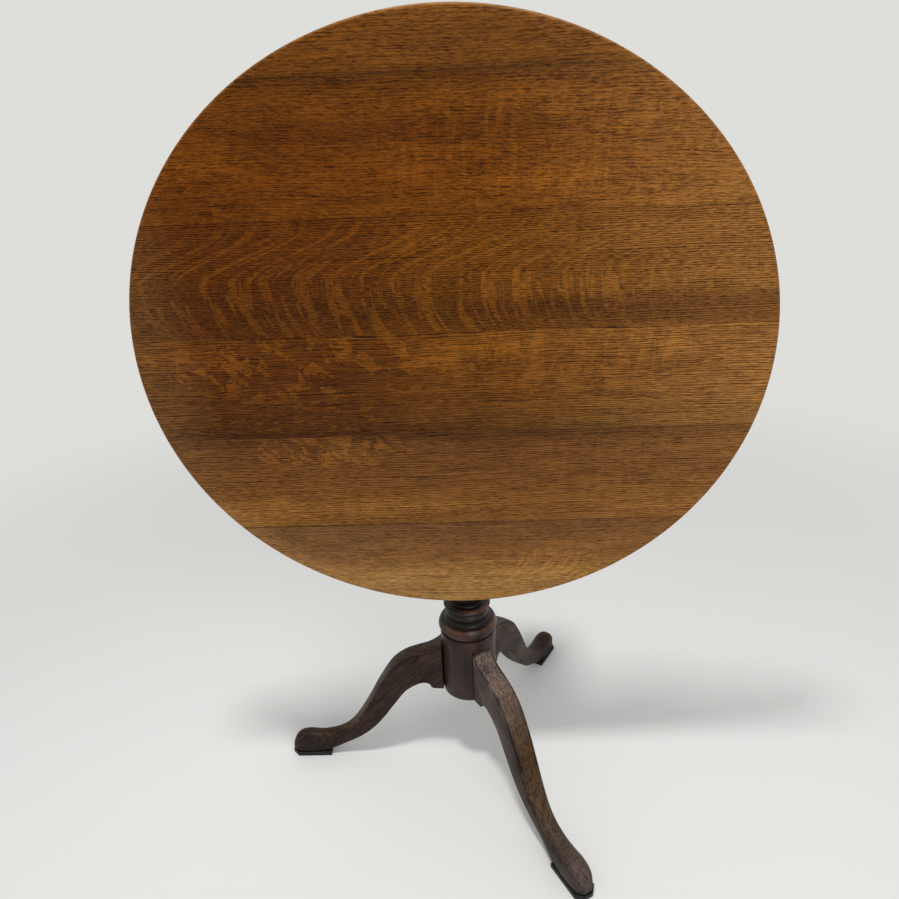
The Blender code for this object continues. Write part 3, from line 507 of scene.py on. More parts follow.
def boardFinish(number, look, low, high):
    material, shader = newFinish(f"waxed top oak {number}")
    place = millimetres(shader)
    x, y, z = separated(place)
    shift = look["shift"]

    # the grain wanders off the board's line
    drift = noise(place, grainLook["wander"], (shift, 0, 0), 1.0)
    drift = (drift - 0.5) * look["wander"]
    drift += x * look["slope"]
    ripple = noise(place, grainLook["ripple"], (0, shift, 0), 2.0)
    drift += (ripple - 0.5) * grainLook["rippleDepth"]
    across = y + drift
    grain = combined(x, across, z)

    def marks(kind, offset, detail, rough=0.5):
        # below 1, run breaks the marks up sooner along the grain
        along, over, deep = grainLook[kind]
        return noise(grain, (along * look["run"], over, deep), offset, detail, rough)

    # year rings cut on edge: close dark lines, broken into strokes and pores
    spacing = noise(grain, grainLook["spacing"], (shift, shift, 0), 2.0)
    phase = calc("DIVIDE", across, look["pitch"])
    phase += spacing * grainLook["spacingDepth"]
    wave = calc("SINE", phase * (2 * pi))
    breaks = fade(marks("breaks", (shift, 0, 5), 3.0, 0.6), 0.33, 0.6, 0.3, 1.0)
    wave = fade(wave, -0.9, 0.0, -1.0, 0.5) * breaks
    rings = marks("rings", (shift, shift, 0), 3.0, 0.7)
    dashes = marks("dashes", (0, shift, shift), 1.0)
    pits = fade(marks("pores", (shift, 0, shift), 1.0), 0.56, 0.66)
    clouds = noise(grain, grainLook["clouds"], (shift, 5, 0), 4.0, 0.6)

    # the board's tone, duller at its left with painted light and paler to the right with a painted sheen
    upBoard = mapped(y, low * 1000, high * 1000)
    base = tinted(ramp(upBoard, look["tones"]), look["stain"])
    leftPaintedLight = fade(x, *topLook["leftPaintedLight"], 1.0, 0.0)
    base = blend(leftPaintedLight, base, tinted(base, look["left"]))
    rightPaintedSheen = fade(x, *topLook["rightPaintedSheen"], 0.0, look["right"])
    base = blend(rightPaintedSheen, base, topLook["pale"])

    # broad darker and paler stretches along the grain
    broad = 0.0
    for middleX, middleY, reach, half, amount in look["bands"]:
        offset = drift * 0.4 + y - middleY
        inside = fade(calc("ABSOLUTE", offset), half * 0.2, half, amount, 0.0)
        distance = calc("ABSOLUTE", x - middleX)
        broad += inside * fade(distance, reach * 0.3, reach, 1.0, 0.0)
    base = shaded(base, broad, topLook["broadWeights"])
    # a painted sheen, paler and greyer, on the top's far left and its lower left
    sheenMask = fade(x + y, *topLook["lowSheen"], 0.0)
    sheenMask = calc("MAXIMUM", sheenMask, fade(x, *topLook["leftSheen"], 0.0))
    base = blend(sheenMask, base, topLook["paintedSheenTone"])

    flake = 0.0
    outline = 0.0
    for index, rayLook in enumerate(look["rays"]):
        patch, line = raysIn(x, y, place, rayLook, shift + 7.0 * index)
        flake = calc("MAXIMUM", patch, flake)
        outline = calc("MAXIMUM", line, outline)

    lines = fade(rings, 0.38, 0.58, -1.0, 0.8)
    strokes = fade(dashes, 0.38, 0.60, -1.0, 0.9)
    flake *= strokes * 0.4 + 0.75
    calm = 1.0 - flake * 0.15
    shade = wave * (grainLook["lineDepth"] * look["lines"])
    shade += lines * grainLook["ringDepth"]
    shade += strokes * (grainLook["dashDepth"] * look["dashes"])
    shade += pits * (-grainLook["poreDepth"] * look["dashes"])
    shade *= calm
    shade += flake * grainLook["flakeLift"]
    shade += outline * -grainLook["outlineDepth"]
    shade += fade(clouds, 0.28, 0.72, -0.14, 0.18)
    shade = calc("MAXIMUM", shade + grainLook["lift"], grainLook["darkest"])
    colour = shaded(base, shade, topLook["grainWeights"])
    colour = blend(flake * 0.16, colour, topLook["flake"])

    # worn rim, paler from wear and a painted highlight that fades toward the top, and dirt held along the
    # seams
    flat = combined(x, y)
    inner, outer = (topRadius * 1000 - inset for inset in topLook["palerRim"])
    rim = fade(vectorLength(flat), inner, outer)
    rim *= fade(dashes, 0.3, 0.6, 0.25, 0.9)
    # the rim's painted highlight fades toward the top
    rim *= fade(y, -150.0, 150.0, 1.0, 0.45)
    colour = blend(rim, colour, topLook["rim"])
    over = fade(high * 1000 - y, *topLook["seamReach"], look["topSeam"], 0.0)
    beneath = fade(y - low * 1000, *topLook["seamReach"], look["lowSeam"], 0.0)
    seam = calc("MAXIMUM", over, beneath) * fade(clouds, 0.35, 0.6, 0.4, 1.0)
    colour = blend(seam, colour, topLook["darkening"])

    # the underside was never polished
    under = fade(z, *topLook["underside"], 1.0, 0.0)
    dry = ramp(rings, topLook["dry"])
    dry = dimmed(dry, fade(clouds, 0.25, 0.75, 0.72, 1.15))
    dry = blend(pits * 0.5, dry, topLook["dryPore"])
    colour = blend(under, colour, dry)

    gloss = fade(dashes, 0.3, 0.7, topLook["roughness"] + 0.05, topLook["roughness"] - 0.04)
    gloss += under * topLook["underRoughness"]
    relief = dashes * 0.6 + pits * -0.8
    relief += rings * 0.6
    surface(shader, colour, gloss, relief, topLook["bump"], topLook["specular"])
    return material


boardNodes = [f"top_board_{n}" for n in range(1, 7)]
boardBoxes = [levelBox(node) for node in boardNodes]
topRadius = max(high.x for low, high in boardBoxes)
topMiddleY = (boardBoxes[0][0].y + boardBoxes[-1][1].y) / 2
topMiddleZ = (boardBoxes[0][0].z + boardBoxes[0][1].z) / 2
topHalf = boardBoxes[2][1].z - topMiddleZ
topPlace = levelFrame @ Matrix.Translation((0.0, topMiddleY, topMiddleZ))

for index, look in enumerate(boardLooks):
    wear = topLook["rimWear"]
    r, h = topRadius, topHalf
    rimLine = [(0.0, -h), (r - wear, -h)]
    rimLine += arc(rimLine[-1], (r, -h), (r, -h + wear), 4)
    rimLine += [(r, 0.0), (r, h - wear)]
    rimLine += arc(rimLine[-1], (r, h), (r - wear, h), 4)
    rimLine += [(r - 4 * wear, h), (0.0, h)]
    work = turned(rimLine, topLook["segments"])
    low = boardBoxes[index][0].y - topMiddleY
    high = boardBoxes[index][1].y - topMiddleY
    close = (topLook["cadSeam"] - topLook["seamGap"]) / 2
    cuts = []
    if index > 0:
        low -= close
        cuts.append((low, (0.0, -1.0, 0.0)))
    if index < len(boardLooks) - 1:
        high += close
        cuts.append((high, (0.0, 1.0, 0.0)))
    for position, outward in cuts:
        everything = work.verts[:] + work.edges[:] + work.faces[:]
        bmesh.ops.bisect_plane(work, geom=everything, plane_co=(0.0, position, 0.0),
                               plane_no=outward, clear_outer=True)
        rimEdges = [edge for edge in work.edges if edge.is_boundary]
        filled = bmesh.ops.contextual_create(work, geom=rimEdges)["faces"]
        eased = [edge for face in filled for edge in face.edges]
        bmesh.ops.bevel(work, geom=eased, offset=topLook["seamEase"], segments=1, affect="EDGES")
    mesh = newMesh(boardNodes[index], work)
    finish = boardFinish(index + 1, look, low, high)
    addPiece(f"oak_board_{index + 1}", mesh, topPlace, "top", finish, boardNodes[index], 25.0)
print("top boards done")


darkLook = {
    "legRun": radians(-42),       # how the grain lies in a leg
    "legSide": (tone(32, 21, 18), tone(54, 38, 33)),
    "legTop": (tone(36, 25, 18), tone(92, 67, 38)),
    # along each leg: the front leg's grey shoulder and foot are painted sheen, the near-black left and rear
    # feet painted shade
    "along": {
        "left": [(0.15, tone(54, 39, 27)), (0.5, tone(40, 27, 18)), (0.75, tone(8, 5, 4)),
                 (1.0, tone(8, 6, 5))],
        "front": [(0.15, tone(122, 106, 99)), (0.45, tone(60, 39, 12)), (0.72, tone(64, 53, 48)),
                  (1.0, tone(84, 75, 73))],
        "rear": [(0.15, tone(90, 74, 62)), (0.5, tone(84, 68, 54)), (0.75, tone(22, 15, 10)),
                 (1.0, tone(16, 10, 7))],
    },
    "wear": tone(124, 94, 64),
    "knot": (67.0, -7.0, 236.0),
    "pore": tone(14, 9, 7),
    "columnDark": tone(16, 9, 7),
    "columnLight": tone(48, 29, 23),
    "columnWear": tone(116, 78, 60),
    "columnHollowShade": tone(12, 8, 6),
    # the tone of the painted shade in the column's hollows
    "columnPore": tone(20, 12, 10),
    "topShadow": (20, 55, 1.0, 0.22),  # painted shadow of the tipped top: from how far above the drum, to where, and the light left there
    "legSpecular": 0.12,
    "specular": 0.20,
    "legBump": 0.00016,
    "columnBump": 0.00010,
    "columnCoat": (0.05, 0.22),   # weight and roughness
}

# what one unit of each mark covers in millimetres
legMarks = {
    "drift": (70, 50, 70),
    "streaks": (70, 3.0, 3.0),
    "fibres": (16, 1.0, 1.0),
    "pores": (6.5, 0.8, 0.8),
    "clouds": (46, 26, 36),
}
columnMarks = {
    "streaks": (2.6, 2.6, 85),
    "fibres": (1.0, 1.0, 18),
    "pores": (0.7, 0.7, 7.0),
    "clouds": (30, 30, 42),
    "turning": (60, 60, 0.7),
}


def legFinish(name, shift, azimuth):
    material, shader = newFinish(f"dark leg oak {name}")
    place = millimetres(shader, azimuth)
    run = (0.0, darkLook["legRun"], 0.0)
    drift = noise(place, legMarks["drift"], (shift, 0, 0), 1.0)
    lift = combined(0.0, 0.0, drift * 16.0)
    bent = put("VectorMath", {0: place, 1: lift}, operation="ADD")
    streaks = noise(bent, legMarks["streaks"], (shift, 0, 0), 3.0, 0.65, run)
    fibres = noise(bent, legMarks["fibres"], (0, shift, 0), 2.0, 0.6, run)
    pores = noise(bent, legMarks["pores"], (0, 0, shift), 1.0, 0.5, run)
    clouds = noise(place, legMarks["clouds"], (shift, shift, 0), 2.0)
    upper = fade(attribute(shader, "upper"), 0.55, 0.95)

    dark, light = darkLook["legSide"]
    sides = ramp(streaks, [(0.3, dark), (0.7, light)])
    dark, light = darkLook["legTop"]
    mixed = fibres * 0.5 + streaks * 0.5
    tops = ramp(mixed, [(0.38, dark), (0.62, light)])
    colour = blend(upper, sides, tops)
    along = separated(place)[0]
    outward = mapped(along, shoulder * 1000, legLook["reach"][name] * 1000)
    # painted sheen and painted shade along the leg, stronger on its upper faces
    sheenAndShade = fade(attribute(shader, "upper"), 0.1, 0.9, 0.3, 0.68)
    colour = blend(sheenAndShade, colour, ramp(outward, darkLook["along"][name]))
    shade = fade(clouds, 0.3, 0.7, -0.22, 0.18)
    shade += fade(fibres, 0.38, 0.62, -0.42, 0.42)
    shade += fade(streaks, 0.35, 0.65, -0.28, 0.08)
    colour = shaded(colour, shade)
    rubbed = attribute(shader, "wear") * fade(streaks, 0.46, 0.64, 0.0, 0.8)
    rubbed *= fade(fibres, 0.42, 0.6)
    rubbed *= fade(outward, 0.55, 0.8, 1.0, 0.35)
    rubbed *= fade(attribute(shader, "upper"), 0.0, 0.3, 0.25, 1.0)
    colour = blend(rubbed, colour, darkLook["wear"])
    # a darker line along the sharp arrises of the leg's top
    darkening = attribute(shader, "arris") * fade(clouds, 0.35, 0.6, 0.9, 0.5)
    # painted shadow in the gap where the leg's shoulder meets the drum
    joint = fade(along, shoulder * 1000 + 0.6, shoulder * 1000 + 2.6, 0.8, 0.0)
    colour = blend(calc("MAXIMUM", darkening, joint), colour, darkLook["pore"])
    if name == "front":
        spot = put("VectorMath", {0: bent, 1: darkLook["knot"]}, operation="SUBTRACT")
        spot = stretch(spot, (1.5, 1.0, 4.0))
        ringed = vectorLength(spot)
        ripples = fade(calc("SINE", ringed * 2.2), -0.6, 0.6, 0.35, 1.0)
        knot = fade(ringed, 2.5, 8.0, 0.85, 0.0) * ripples
        colour = blend(knot, colour, darkLook["pore"])
    pits = fade(pores, 0.56, 0.66)
    pitted = pits * fade(upper, 0.0, 1.0, 0.4, 0.7)
    colour = blend(pitted, colour, darkLook["pore"])

    gloss = fade(clouds, 0.3, 0.7, 0.50, 0.38)
    gloss += pits * 0.15
    relief = pits * -0.7 + streaks * 0.5
    relief += fibres * 0.35
    surface(shader, colour, gloss, relief, darkLook["legBump"], darkLook["legSpecular"])
    return material


def columnFinish():
    material, shader = newFinish("polished column oak")
    place = millimetres(shader)
    streaks = noise(place, columnMarks["streaks"], (4.0, 0, 0), 3.0, 0.65)
    fibres = noise(place, columnMarks["fibres"], (0, 9.0, 0), 2.0, 0.6)
    pores = noise(place, columnMarks["pores"], (0, 0, 3.0), 1.0)
    clouds = noise(place, columnMarks["clouds"], (0, 2.0, 0), 2.0)
    turning = noise(place, columnMarks["turning"], (0, 0, 8.0), 2.0)
    mixed = streaks * 0.6 + fibres * 0.4
    colour = ramp(mixed, [(0.38, darkLook["columnDark"]), (0.60, darkLook["columnLight"])])
    height = separated(place)[2]
    # painted shadow of the tipped top on the column's upper turning
    low, high, below, above = darkLook["topShadow"]
    topShadow = fade(height, drumTop * 1000 + low, drumTop * 1000 + high, below, above)
    colour = dimmed(colour, topShadow)
    colour = dimmed(colour, fade(clouds, 0.3, 0.7, 0.72, 1.22))
    rubbed = attribute(shader, "wear") * fade(clouds, 0.4, 0.65, 0.05, 0.5)
    colour = blend(rubbed, colour, darkLook["columnWear"])
    # painted shade in the turning's hollows
    darkening = attribute(shader, "hollow") * 0.85
    colour = blend(darkening, colour, darkLook["columnHollowShade"])
    pits = fade(pores, 0.58, 0.68)
    colour = blend(pits * 0.6, colour, darkLook["columnPore"])
    gloss = fade(clouds, 0.3, 0.7, 0.40, 0.27)
    relief = fibres * 0.4 - pits * 0.6
    relief += turning * 0.5
    surface(shader, colour, gloss, relief, darkLook["columnBump"], darkLook["specular"])
    coat, coatRoughness = darkLook["columnCoat"]
    shader.inputs["Coat Weight"].default_value = coat
    shader.inputs["Coat Roughness"].default_value = coatRoughness
    return material


columnLook = {
    "segments": 144,
    "drumRadius": 0.0453,
    "aboveLegs": 0.0215,          # drum above the legs' tops
    "headShoulder": 0.0003,       # under the block
    "arris": 0.0008,
    "tenonRadius": 0.0190,
    "tenonArris": 0.001,
    "wearReach": 0.0045,          # how far up and down the turning is compared with itself
    "wearDepth": 0.0015,
}

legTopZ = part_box("leg_left")[1].z
drumLow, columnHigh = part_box("column")
drumBottom = drumLow.z
drumTop = legTopZ + columnLook["aboveLegs"]
tenonTop = columnHigh.z
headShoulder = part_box("block")[0].z - columnLook["headShoulder"]
gap = 0.0003                      # between pieces that touch


def profile(line, shape, radius, height):
    # carries a profile on in millimetres from a radius and a height: an entry is one point,
    # or a curve's control point, its end and its steps
    for entry in shape:
        x, z = radius + entry[0] / 1000, height + entry[1] / 1000
        if len(entry) == 2:
            line.append((x, z))
        else:
            line += arc(line[-1], (x, z), (radius + entry[2] / 1000, height + entry[3] / 1000), entry[4])


# the turning from the drum's top up, measured from the drum's edge
lowerTurning = [
    (-1.8, 0), (-1.8, 4.5), (0.2, 4.5), (0.7, 5.0),
    (5.2, 12.5, -1.3, 21, 14),                                       # collar
    (-9.0, 21.5, -9.8, 27.5, 8),                                     # cove
    (-11.8, 29), (-11.8, 31), (-9.5, 35.5, -12.8, 40.5, 8), (-13.3, 41.5), (-13.3, 45), (-12.3, 45),
    (-2.3, 49.5, -12.3, 54.5, 12),                                   # astragal
    (-17.8, 55.5), (-19.5, 57.5, -18.0, 59.5, 5), (-19.1, 60.5),
    (-7.8, 78, -7.8, 121, 14), (-7.8, 158, -21.3, 185, 14),          # vase
    (-19.8, 186), (-19.8, 188.5), (-18.8, 188.5), (-10.3, 193.5, -18.8, 198.5, 10),
    (-21.3, 198.5), (-21.3, 202), (-22.8, 203.5),
]
# the turning above the long shaft, measured from the axis and from under the block
upperTurning = [
    (20, -45), (20, -43), (27.5, -39.5, 20, -35.5, 10), (19.5, -33.5), (20, -12, 29, -8, 10),
    (31, -8), (31, 0), (19, 0),
]


def columnLine():
    r = columnLook["drumRadius"]
    arris = columnLook["arris"]
    line = [(0.0, drumBottom), (r - arris, drumBottom)]
    line += arc(line[-1], (r, drumBottom), (r, drumBottom + arris), 3)
    line += [(r, legTopZ), (r, drumTop - 0.0005)]
    profile(line, [(0, 0, -0.5, 0, 2)] + lowerTurning, r, drumTop)
    shaftTop = headShoulder + upperTurning[0][1] / 1000
    middle = (line[-1][1] + shaftTop) / 2
    line += arc(line[-1], (0.0240, middle), (0.0190, shaftTop), 14)
    profile(line, upperTurning, 0.0, headShoulder)
    r, arris = columnLook["tenonRadius"], columnLook["tenonArris"]
    line += [(r, tenonTop - arris), (r - arris, tenonTop), (0.0, tenonTop)]
    return line


def markTurning(mesh):
    # wear on what stands proud along the turning, and painted shade in what lies deep
    line = columnLine()

    def radiusAt(height):
        for (r1, z1), (r2, z2) in zip(line, line[1:]):
            if z1 <= height <= z2 and z2 > z1:
                return r1 + (r2 - r1) * (height - z1) / (z2 - z1)
        return line[-2][0]

    wear = mesh.attributes.new("wear", "FLOAT", "POINT")
    hollow = mesh.attributes.new("hollow", "FLOAT", "POINT")
    reach = columnLook["wearReach"]
    for vertex in mesh.vertices:
        height = vertex.co.z
        radius = Vector((vertex.co.x, vertex.co.y)).length
        below = radiusAt(max(height - reach, drumBottom))
        above = radiusAt(min(height + reach, tenonTop))
        proud = (radius - (below + above) / 2) / columnLook["wearDepth"]
        wear.data[vertex.index].value = min(max(proud, 0.0), 1.0)
        hollow.data[vertex.index].value = min(max(-proud, 0.0), 1.0)


legLook = {
    "thickness": 0.035,
    "reach": {"left": 0.3210, "front": 0.3310, "rear": 0.3210},
    "azimuth": {"left": 180.0, "front": 300.0, "rear": 60.0},
    "footWidth": {"left": 0.0290, "front": 0.0350, "rear": 0.0330},
    "drumFlat": 0.0008,
    "crown": 0.0025,
    "footBase": 0.0083,
    "size": (276.0, 237.2),       # the pattern's, in millimetres
    "ankle": (128.5, 201.5),
    "dovetailDepth": 0.013,
    "dovetailNeck": 0.013,
    "dovetailFlare": 0.019,
    "dovetailStop": 0.014,
    "dovetailRise": 0.0025,       # its foot above the column's
    "dovetailRoot": 0.003,        # how far it is set into the leg
    "rowSteps": 5,
    "cornerSteps": 7,
    "sharp": 0.004,               # arrises smaller than this are darkened along their line
    "mostCorner": 0.48,           # of the leg's width or depth
    "flatOver": 8,                # the crown dies out as the corners reach this, in millimetres
}

# upper x, upper z, lower x, lower z, share of the width, top corner, bottom corner, in millimetres
legPattern = [
    (0.0, 237.2, 0.0, 142.2, 1.00, 1.2, 1.0),
    (4.0, 230.9, 5.5, 142.4, 1.00, 1.2, 1.0),
    (13.5, 223.7, 13.0, 143.2, 1.00, 1.2, 1.0),
    (23.5, 218.4, 19.5, 144.7, 1.00, 1.2, 1.0),
    (30.5, 216.0, 25.0, 152.9, 1.00, 1.2, 1.0),
    (45.0, 211.7, 37.0, 154.9, 1.00, 1.2, 1.0),
    (66.5, 202.7, 53.0, 147.5, 1.00, 1.2, 1.0),
    (88.5, 184.2, 68.5, 134.7, 1.00, 1.2, 1.0),
    (111.5, 148.7, 87.5, 108.7, 1.00, 1.6, 1.0),
    (131.5, 111.0, 107.5, 80.2, 0.99, 3.5, 1.5),
    (150.5, 78.5, 128.5, 54.2, 0.95, 7.0, 3.5),
    (168.5, 57.5, 152.5, 31.2, 0.90, 11.0, 8.0),
    (188.5, 45.0, 177.5, 15.2, 0.87, 13.0, 11.0),
    (209.5, 38.5, 201.5, 3.9, 0.91, 14.5, 9.5),
    (227.5, 37.0, 221.5, 0.0, 0.96, 15.0, 5.0),
    (246.5, 39.0, 244.5, 0.0, 0.97, 15.0, 4.0),
    (260.5, 36.0, 261.5, 0.0, 0.90, 14.0, 4.0),
    (270.0, 28.0, 270.5, 0.3, 0.72, 11.0, 4.0),
    (276.0, 15.7, 276.0, 1.7, 0.42, 5.5, 3.0),
]
shoulder = columnLook["drumRadius"] - legLook["drumFlat"] + gap


def easedRows():
    rows = legPattern
    eased = []
    last = len(rows) - 1
    for i in range(last):
        near = [rows[min(max(k, 0), last)] for k in (i - 1, i, i + 1, i + 2)]
        for step in range(legLook["rowSteps"]):
            t = step / legLook["rowSteps"]
            eased.append([0.5 * (2 * b + (c - a) * t + (2 * a - 5 * b + 4 * c - d) * t * t
                                 + (3 * b - a - 3 * c + d) * t ** 3)
                          for a, b, c, d in zip(*near)])
    return eased + [list(rows[last])]


def legRing(width, depth, topCorner, bottomCorner, crown):
    # points across the leg, each with how far it faces up, how rubbed it is and how dark its arris line is
    ring = []
    steps = legLook["cornerSteps"]
    corners = ((1, bottomCorner, False, -90), (1, topCorner, True, 0),
               (-1, topCorner, True, 90), (-1, bottomCorner, False, 180))
    for side, corner, isTop, turn in corners:
        corner = min(corner, legLook["mostCorner"] * width, legLook["mostCorner"] * depth)
        isSharp = corner < legLook["sharp"]
        centreX = side * (width / 2 - corner)
        centreZ = depth - corner if isTop else corner
        for step in range(steps):
            angle = radians(turn + 90 * step / (steps - 1))
            x = centreX + corner * cos(angle)
            z = centreZ + corner * sin(angle)
            if isTop:
                z -= crown * (2 * x / width) ** 2
            facing = max(sin(angle), 0.0) if isTop else 0.0
            arrisDark = facing if isTop and isSharp else 0.0
            ring.append((x, z, facing, 0.6 if isTop else 0.2, arrisDark))
        if isTop and side == 1:
            for share in (0.92, 0.8, 0.6, 0.3, 0.0, -0.3, -0.6, -0.8, -0.92):
                x = share * (width / 2 - corner)
                arrisDark = 1.0 if isSharp and abs(share) > 0.9 else 0.0
                ring.append((x, depth - crown * (2 * x / width) ** 2, 1.0, 0.2, arrisDark))
    ring.append((0.0, 0.0, 0.0, 0.0, 0.0))
    return ring


def dovetail(space, low, high):
    inner = shoulder - legLook["dovetailDepth"] - space
    outer = shoulder + legLook["dovetailRoot"]
    slope = (legLook["dovetailFlare"] - legLook["dovetailNeck"]) / 2 / legLook["dovetailDepth"]
    wide = legLook["dovetailFlare"] / 2 + space
    narrow = wide - slope * (outer - inner)
    outline = [(inner, -wide), (outer, -narrow), (outer, narrow), (inner, wide)]
    return newMesh("dovetail", slabWork(outline, low, high))


def legMesh(name):
    across = (legLook["reach"][name] - shoulder) / legLook["size"][0]
    base = legLook["footBase"]
    up = (legTopZ - base) / legLook["size"][1]
    knee, ankle = legLook["ankle"]
    work = bmesh.new()
    upperLayer = work.verts.layers.float.new("upper")
    wearLayer = work.verts.layers.float.new("wear")
    arrisLayer = work.verts.layers.float.new("arris")
    rings = []
    for upperX, upperZ, lowerX, lowerZ, share, topCorner, bottomCorner in easedRows():
        upper = Vector((shoulder + upperX * across, 0.0, base + max(upperZ, 0.0) * up))
        lower = Vector((shoulder + lowerX * across, 0.0, base + max(lowerZ, 0.0) * up))
        rise = upper - lower
        towards = min(max((lowerX - knee) / (ankle - knee), 0.0), 1.0)
        thick = legLook["thickness"]
        width = share * (thick + (legLook["footWidth"][name] - thick) * towards)
        crown = legLook["crown"] * max(0.0, 1 - topCorner / legLook["flatOver"])
        axis = rise.normalized()
        ring = []
        section = legRing(width, rise.length, topCorner / 1000, bottomCorner / 1000, crown)
        for x, z, facing, rubbed, arrisDark in section:
            vertex = work.verts.new(lower + axis * z + Vector((0.0, x, 0.0)))
            vertex[upperLayer] = facing
            vertex[wearLayer] = rubbed
            vertex[arrisLayer] = arrisDark
            ring.append(vertex)
        rings.append(ring)
    for ring, after in zip(rings, rings[1:]):
        for i in range(len(ring)):
            j = (i + 1) % len(ring)
            work.faces.new((ring[i], ring[j], after[j], after[i]))
    work.faces.new(rings[0][::-1])
    work.faces.new(rings[-1])
    return newMesh(f"leg {name}", work)


columnMesh = newMesh("column", turned(columnLine(), columnLook["segments"]))
column = addPiece("turned_column", columnMesh, Matrix(), "root", columnFinish(), "column")
legHalf = legLook["thickness"] / 2 + gap
for name, azimuth in legLook["azimuth"].items():
    turn = aboutZ(azimuth)
    flat = boxWork((shoulder - gap, -legHalf, drumBottom - 0.01), (shoulder + 0.01, legHalf, legTopZ + gap))
    carve(column, newMesh("flat", flat), turn)
    stop = legTopZ - legLook["dovetailStop"] + gap
    carve(column, dovetail(gap, drumBottom - 0.01, stop), turn)
wedgeLow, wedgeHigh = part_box("tenon_wedge")
kerfReach = 0.03                  # past the tenon to either side
kerf = boxWork((-kerfReach, wedgeLow.y - gap, wedgeLow.z - gap),
               (kerfReach, wedgeHigh.y + gap, tenonTop + 0.002))
carve(column, newMesh("kerf", kerf), Matrix())
markTurning(column.data)
smoothShading(column)
print("column done")

for number, (name, azimuth) in enumerate(legLook["azimuth"].items()):
    turn = aboutZ(azimuth)
    mesh = legMesh(name)
    mesh.transform(turn)
    finish = legFinish(name, 5.0 + 13.0 * number, radians(azimuth))
    leg = addPiece(f"carved_leg_{name}", mesh, Matrix(), "root", finish, f"leg_{name}", 40.0)
    tongue = dovetail(0.0, drumBottom + legLook["dovetailRise"], legTopZ - legLook["dovetailStop"])
    carve(leg, tongue, turn, "UNION")
    smoothShading(leg, 40.0)
print("legs done")


padLook = {
    "thickness": 0.008,
    "length": 0.070,
    "proud": 0.0004,
    "overhang": 0.0024,
    "chamfer": 0.0105,
    "edge": 0.0011,
    "fibres": (16, 1.0, 1.0),     # these two in millimetres
    "scuffs": (9, 9, 3),
    "tones": [(0.35, tone(12, 12, 12)), (0.7, tone(26, 27, 26))],
    "worn": tone(62, 56, 48),
    "bump": 0.00008,
}


def padFinish(name, azimuth):
    material, shader = newFinish(f"ebonised pad {name}")
    place = millimetres(shader, azimuth)
    fibres = noise(place, padLook["fibres"], (0, 0, 0), 3.0, 0.6)
    scuffs = noise(place, padLook["scuffs"], (2.0, 0, 0), 4.0, 0.65)
    colour = ramp(fibres, padLook["tones"])
    worn = fade(scuffs, 0.58, 0.72, 0.0, 0.6)
    colour = blend(worn, colour, padLook["worn"])
    gloss = fade(scuffs, 0.3, 0.7, 0.34, 0.55)
    surface(shader, colour, gloss, fibres, padLook["bump"], darkLook["specular"])
    return material


for name, azimuth in legLook["azimuth"].items():
    end = legLook["reach"][name] + padLook["overhang"]
    back = end - padLook["length"]
    half = legLook["footWidth"][name] / 2 + padLook["proud"]
    chamfer = padLook["chamfer"]
    outline = [(back, -half), (end - chamfer, -half), (end, chamfer - half),
               (end, half - chamfer), (end - chamfer, half), (back, half)]
    mesh = newMesh("pad", slabWork(outline, 0.0, padLook["thickness"]))
    mesh.transform(aboutZ(azimuth))
    finish = padFinish(name, radians(azimuth))
    pad = addPiece(f"foot_pad_{name}", mesh, Matrix(), "root", finish, f"pad_{name}", 40.0)
    softenEdges(pad, padLook["edge"], 3)
print("pads done")


# grain is what one unit of it covers in millimetres, longest along the wood
dryLook = {
    "block": {"grain": (120, 3.0, 3.0), "light": tone(124, 88, 54), "dark": tone(78, 52, 32), "shift": 2.0},
    "bearer": {"grain": (3.2, 110, 110), "light": tone(130, 98, 62), "dark": tone(88, 62, 38),
               "shift": 6.0},
    "peg": {"grain": (60, 1.6, 1.6), "light": tone(140, 108, 72), "dark": tone(96, 70, 46), "shift": 9.0},
    "fine": 0.4,                  # fibres against the streaks, across the grain
    "marks": (40, 40, 40),
    "pore": tone(40, 27, 18),
    "bump": 0.0001,
}

# how far the edges of the plainer pieces are worn
wornEdges = {"block": 0.0012, "tenon_wedge": 0.0003, "strike_plate": 0.0002, "catch_case": 0.0004,
             "catch_bolt": 0.0003}


def dryFinish(name):
    look = dryLook[name]
    size, shift = look["grain"], look["shift"]
    material, shader = newFinish(f"{name} oak")
    place = millimetres(shader)
    fine = tuple(s if s == max(size) else s * dryLook["fine"] for s in size)
    streaks = noise(place, size, (shift, 0, 0), 3.0, 0.6)
    fibres = noise(place, fine, (0, shift, 0), 3.0, 0.65)
    marks = noise(place, dryLook["marks"], (shift, shift, 0), 4.0, 0.6)
    colour = ramp(streaks, [(0.3, look["dark"]), (0.68, look["light"])])
    shade = fade(marks, 0.3, 0.7, 0.72, 1.12)
    colour = dimmed(colour, shade + fade(fibres, 0.3, 0.7, -0.12, 0.10))
    pits = fade(fibres, 0.60, 0.72)
    colour = blend(pits * 0.55, colour, dryLook["pore"])
    gloss = fade(marks, 0.3, 0.7, 0.75, 0.58)
    relief = fibres - pits * 0.7
    surface(shader, colour, gloss, relief, dryLook["bump"], darkLook["specular"])
    return material


def dress(node, finish):
    # keeps a CAD node's own shape, with its edges worn
    piece = frame["nodes"][node]
    piece.data.materials.clear()
    piece.data.materials.append(finish)
    smoothShading(piece)
    if node in wornEdges:
        softenEdges(piece, wornEdges[node])


blockOak, bearerOak, pegOak = (dryFinish(name) for name in ("block", "bearer", "peg"))
dress("block", blockOak)
for side in ("left", "right"):
    dress(f"bearer_{side}", bearerOak)
    dress(f"pivot_dowel_{side}", pegOak)
dress("tenon_wedge", pegOak)
print("underside woodwork done")


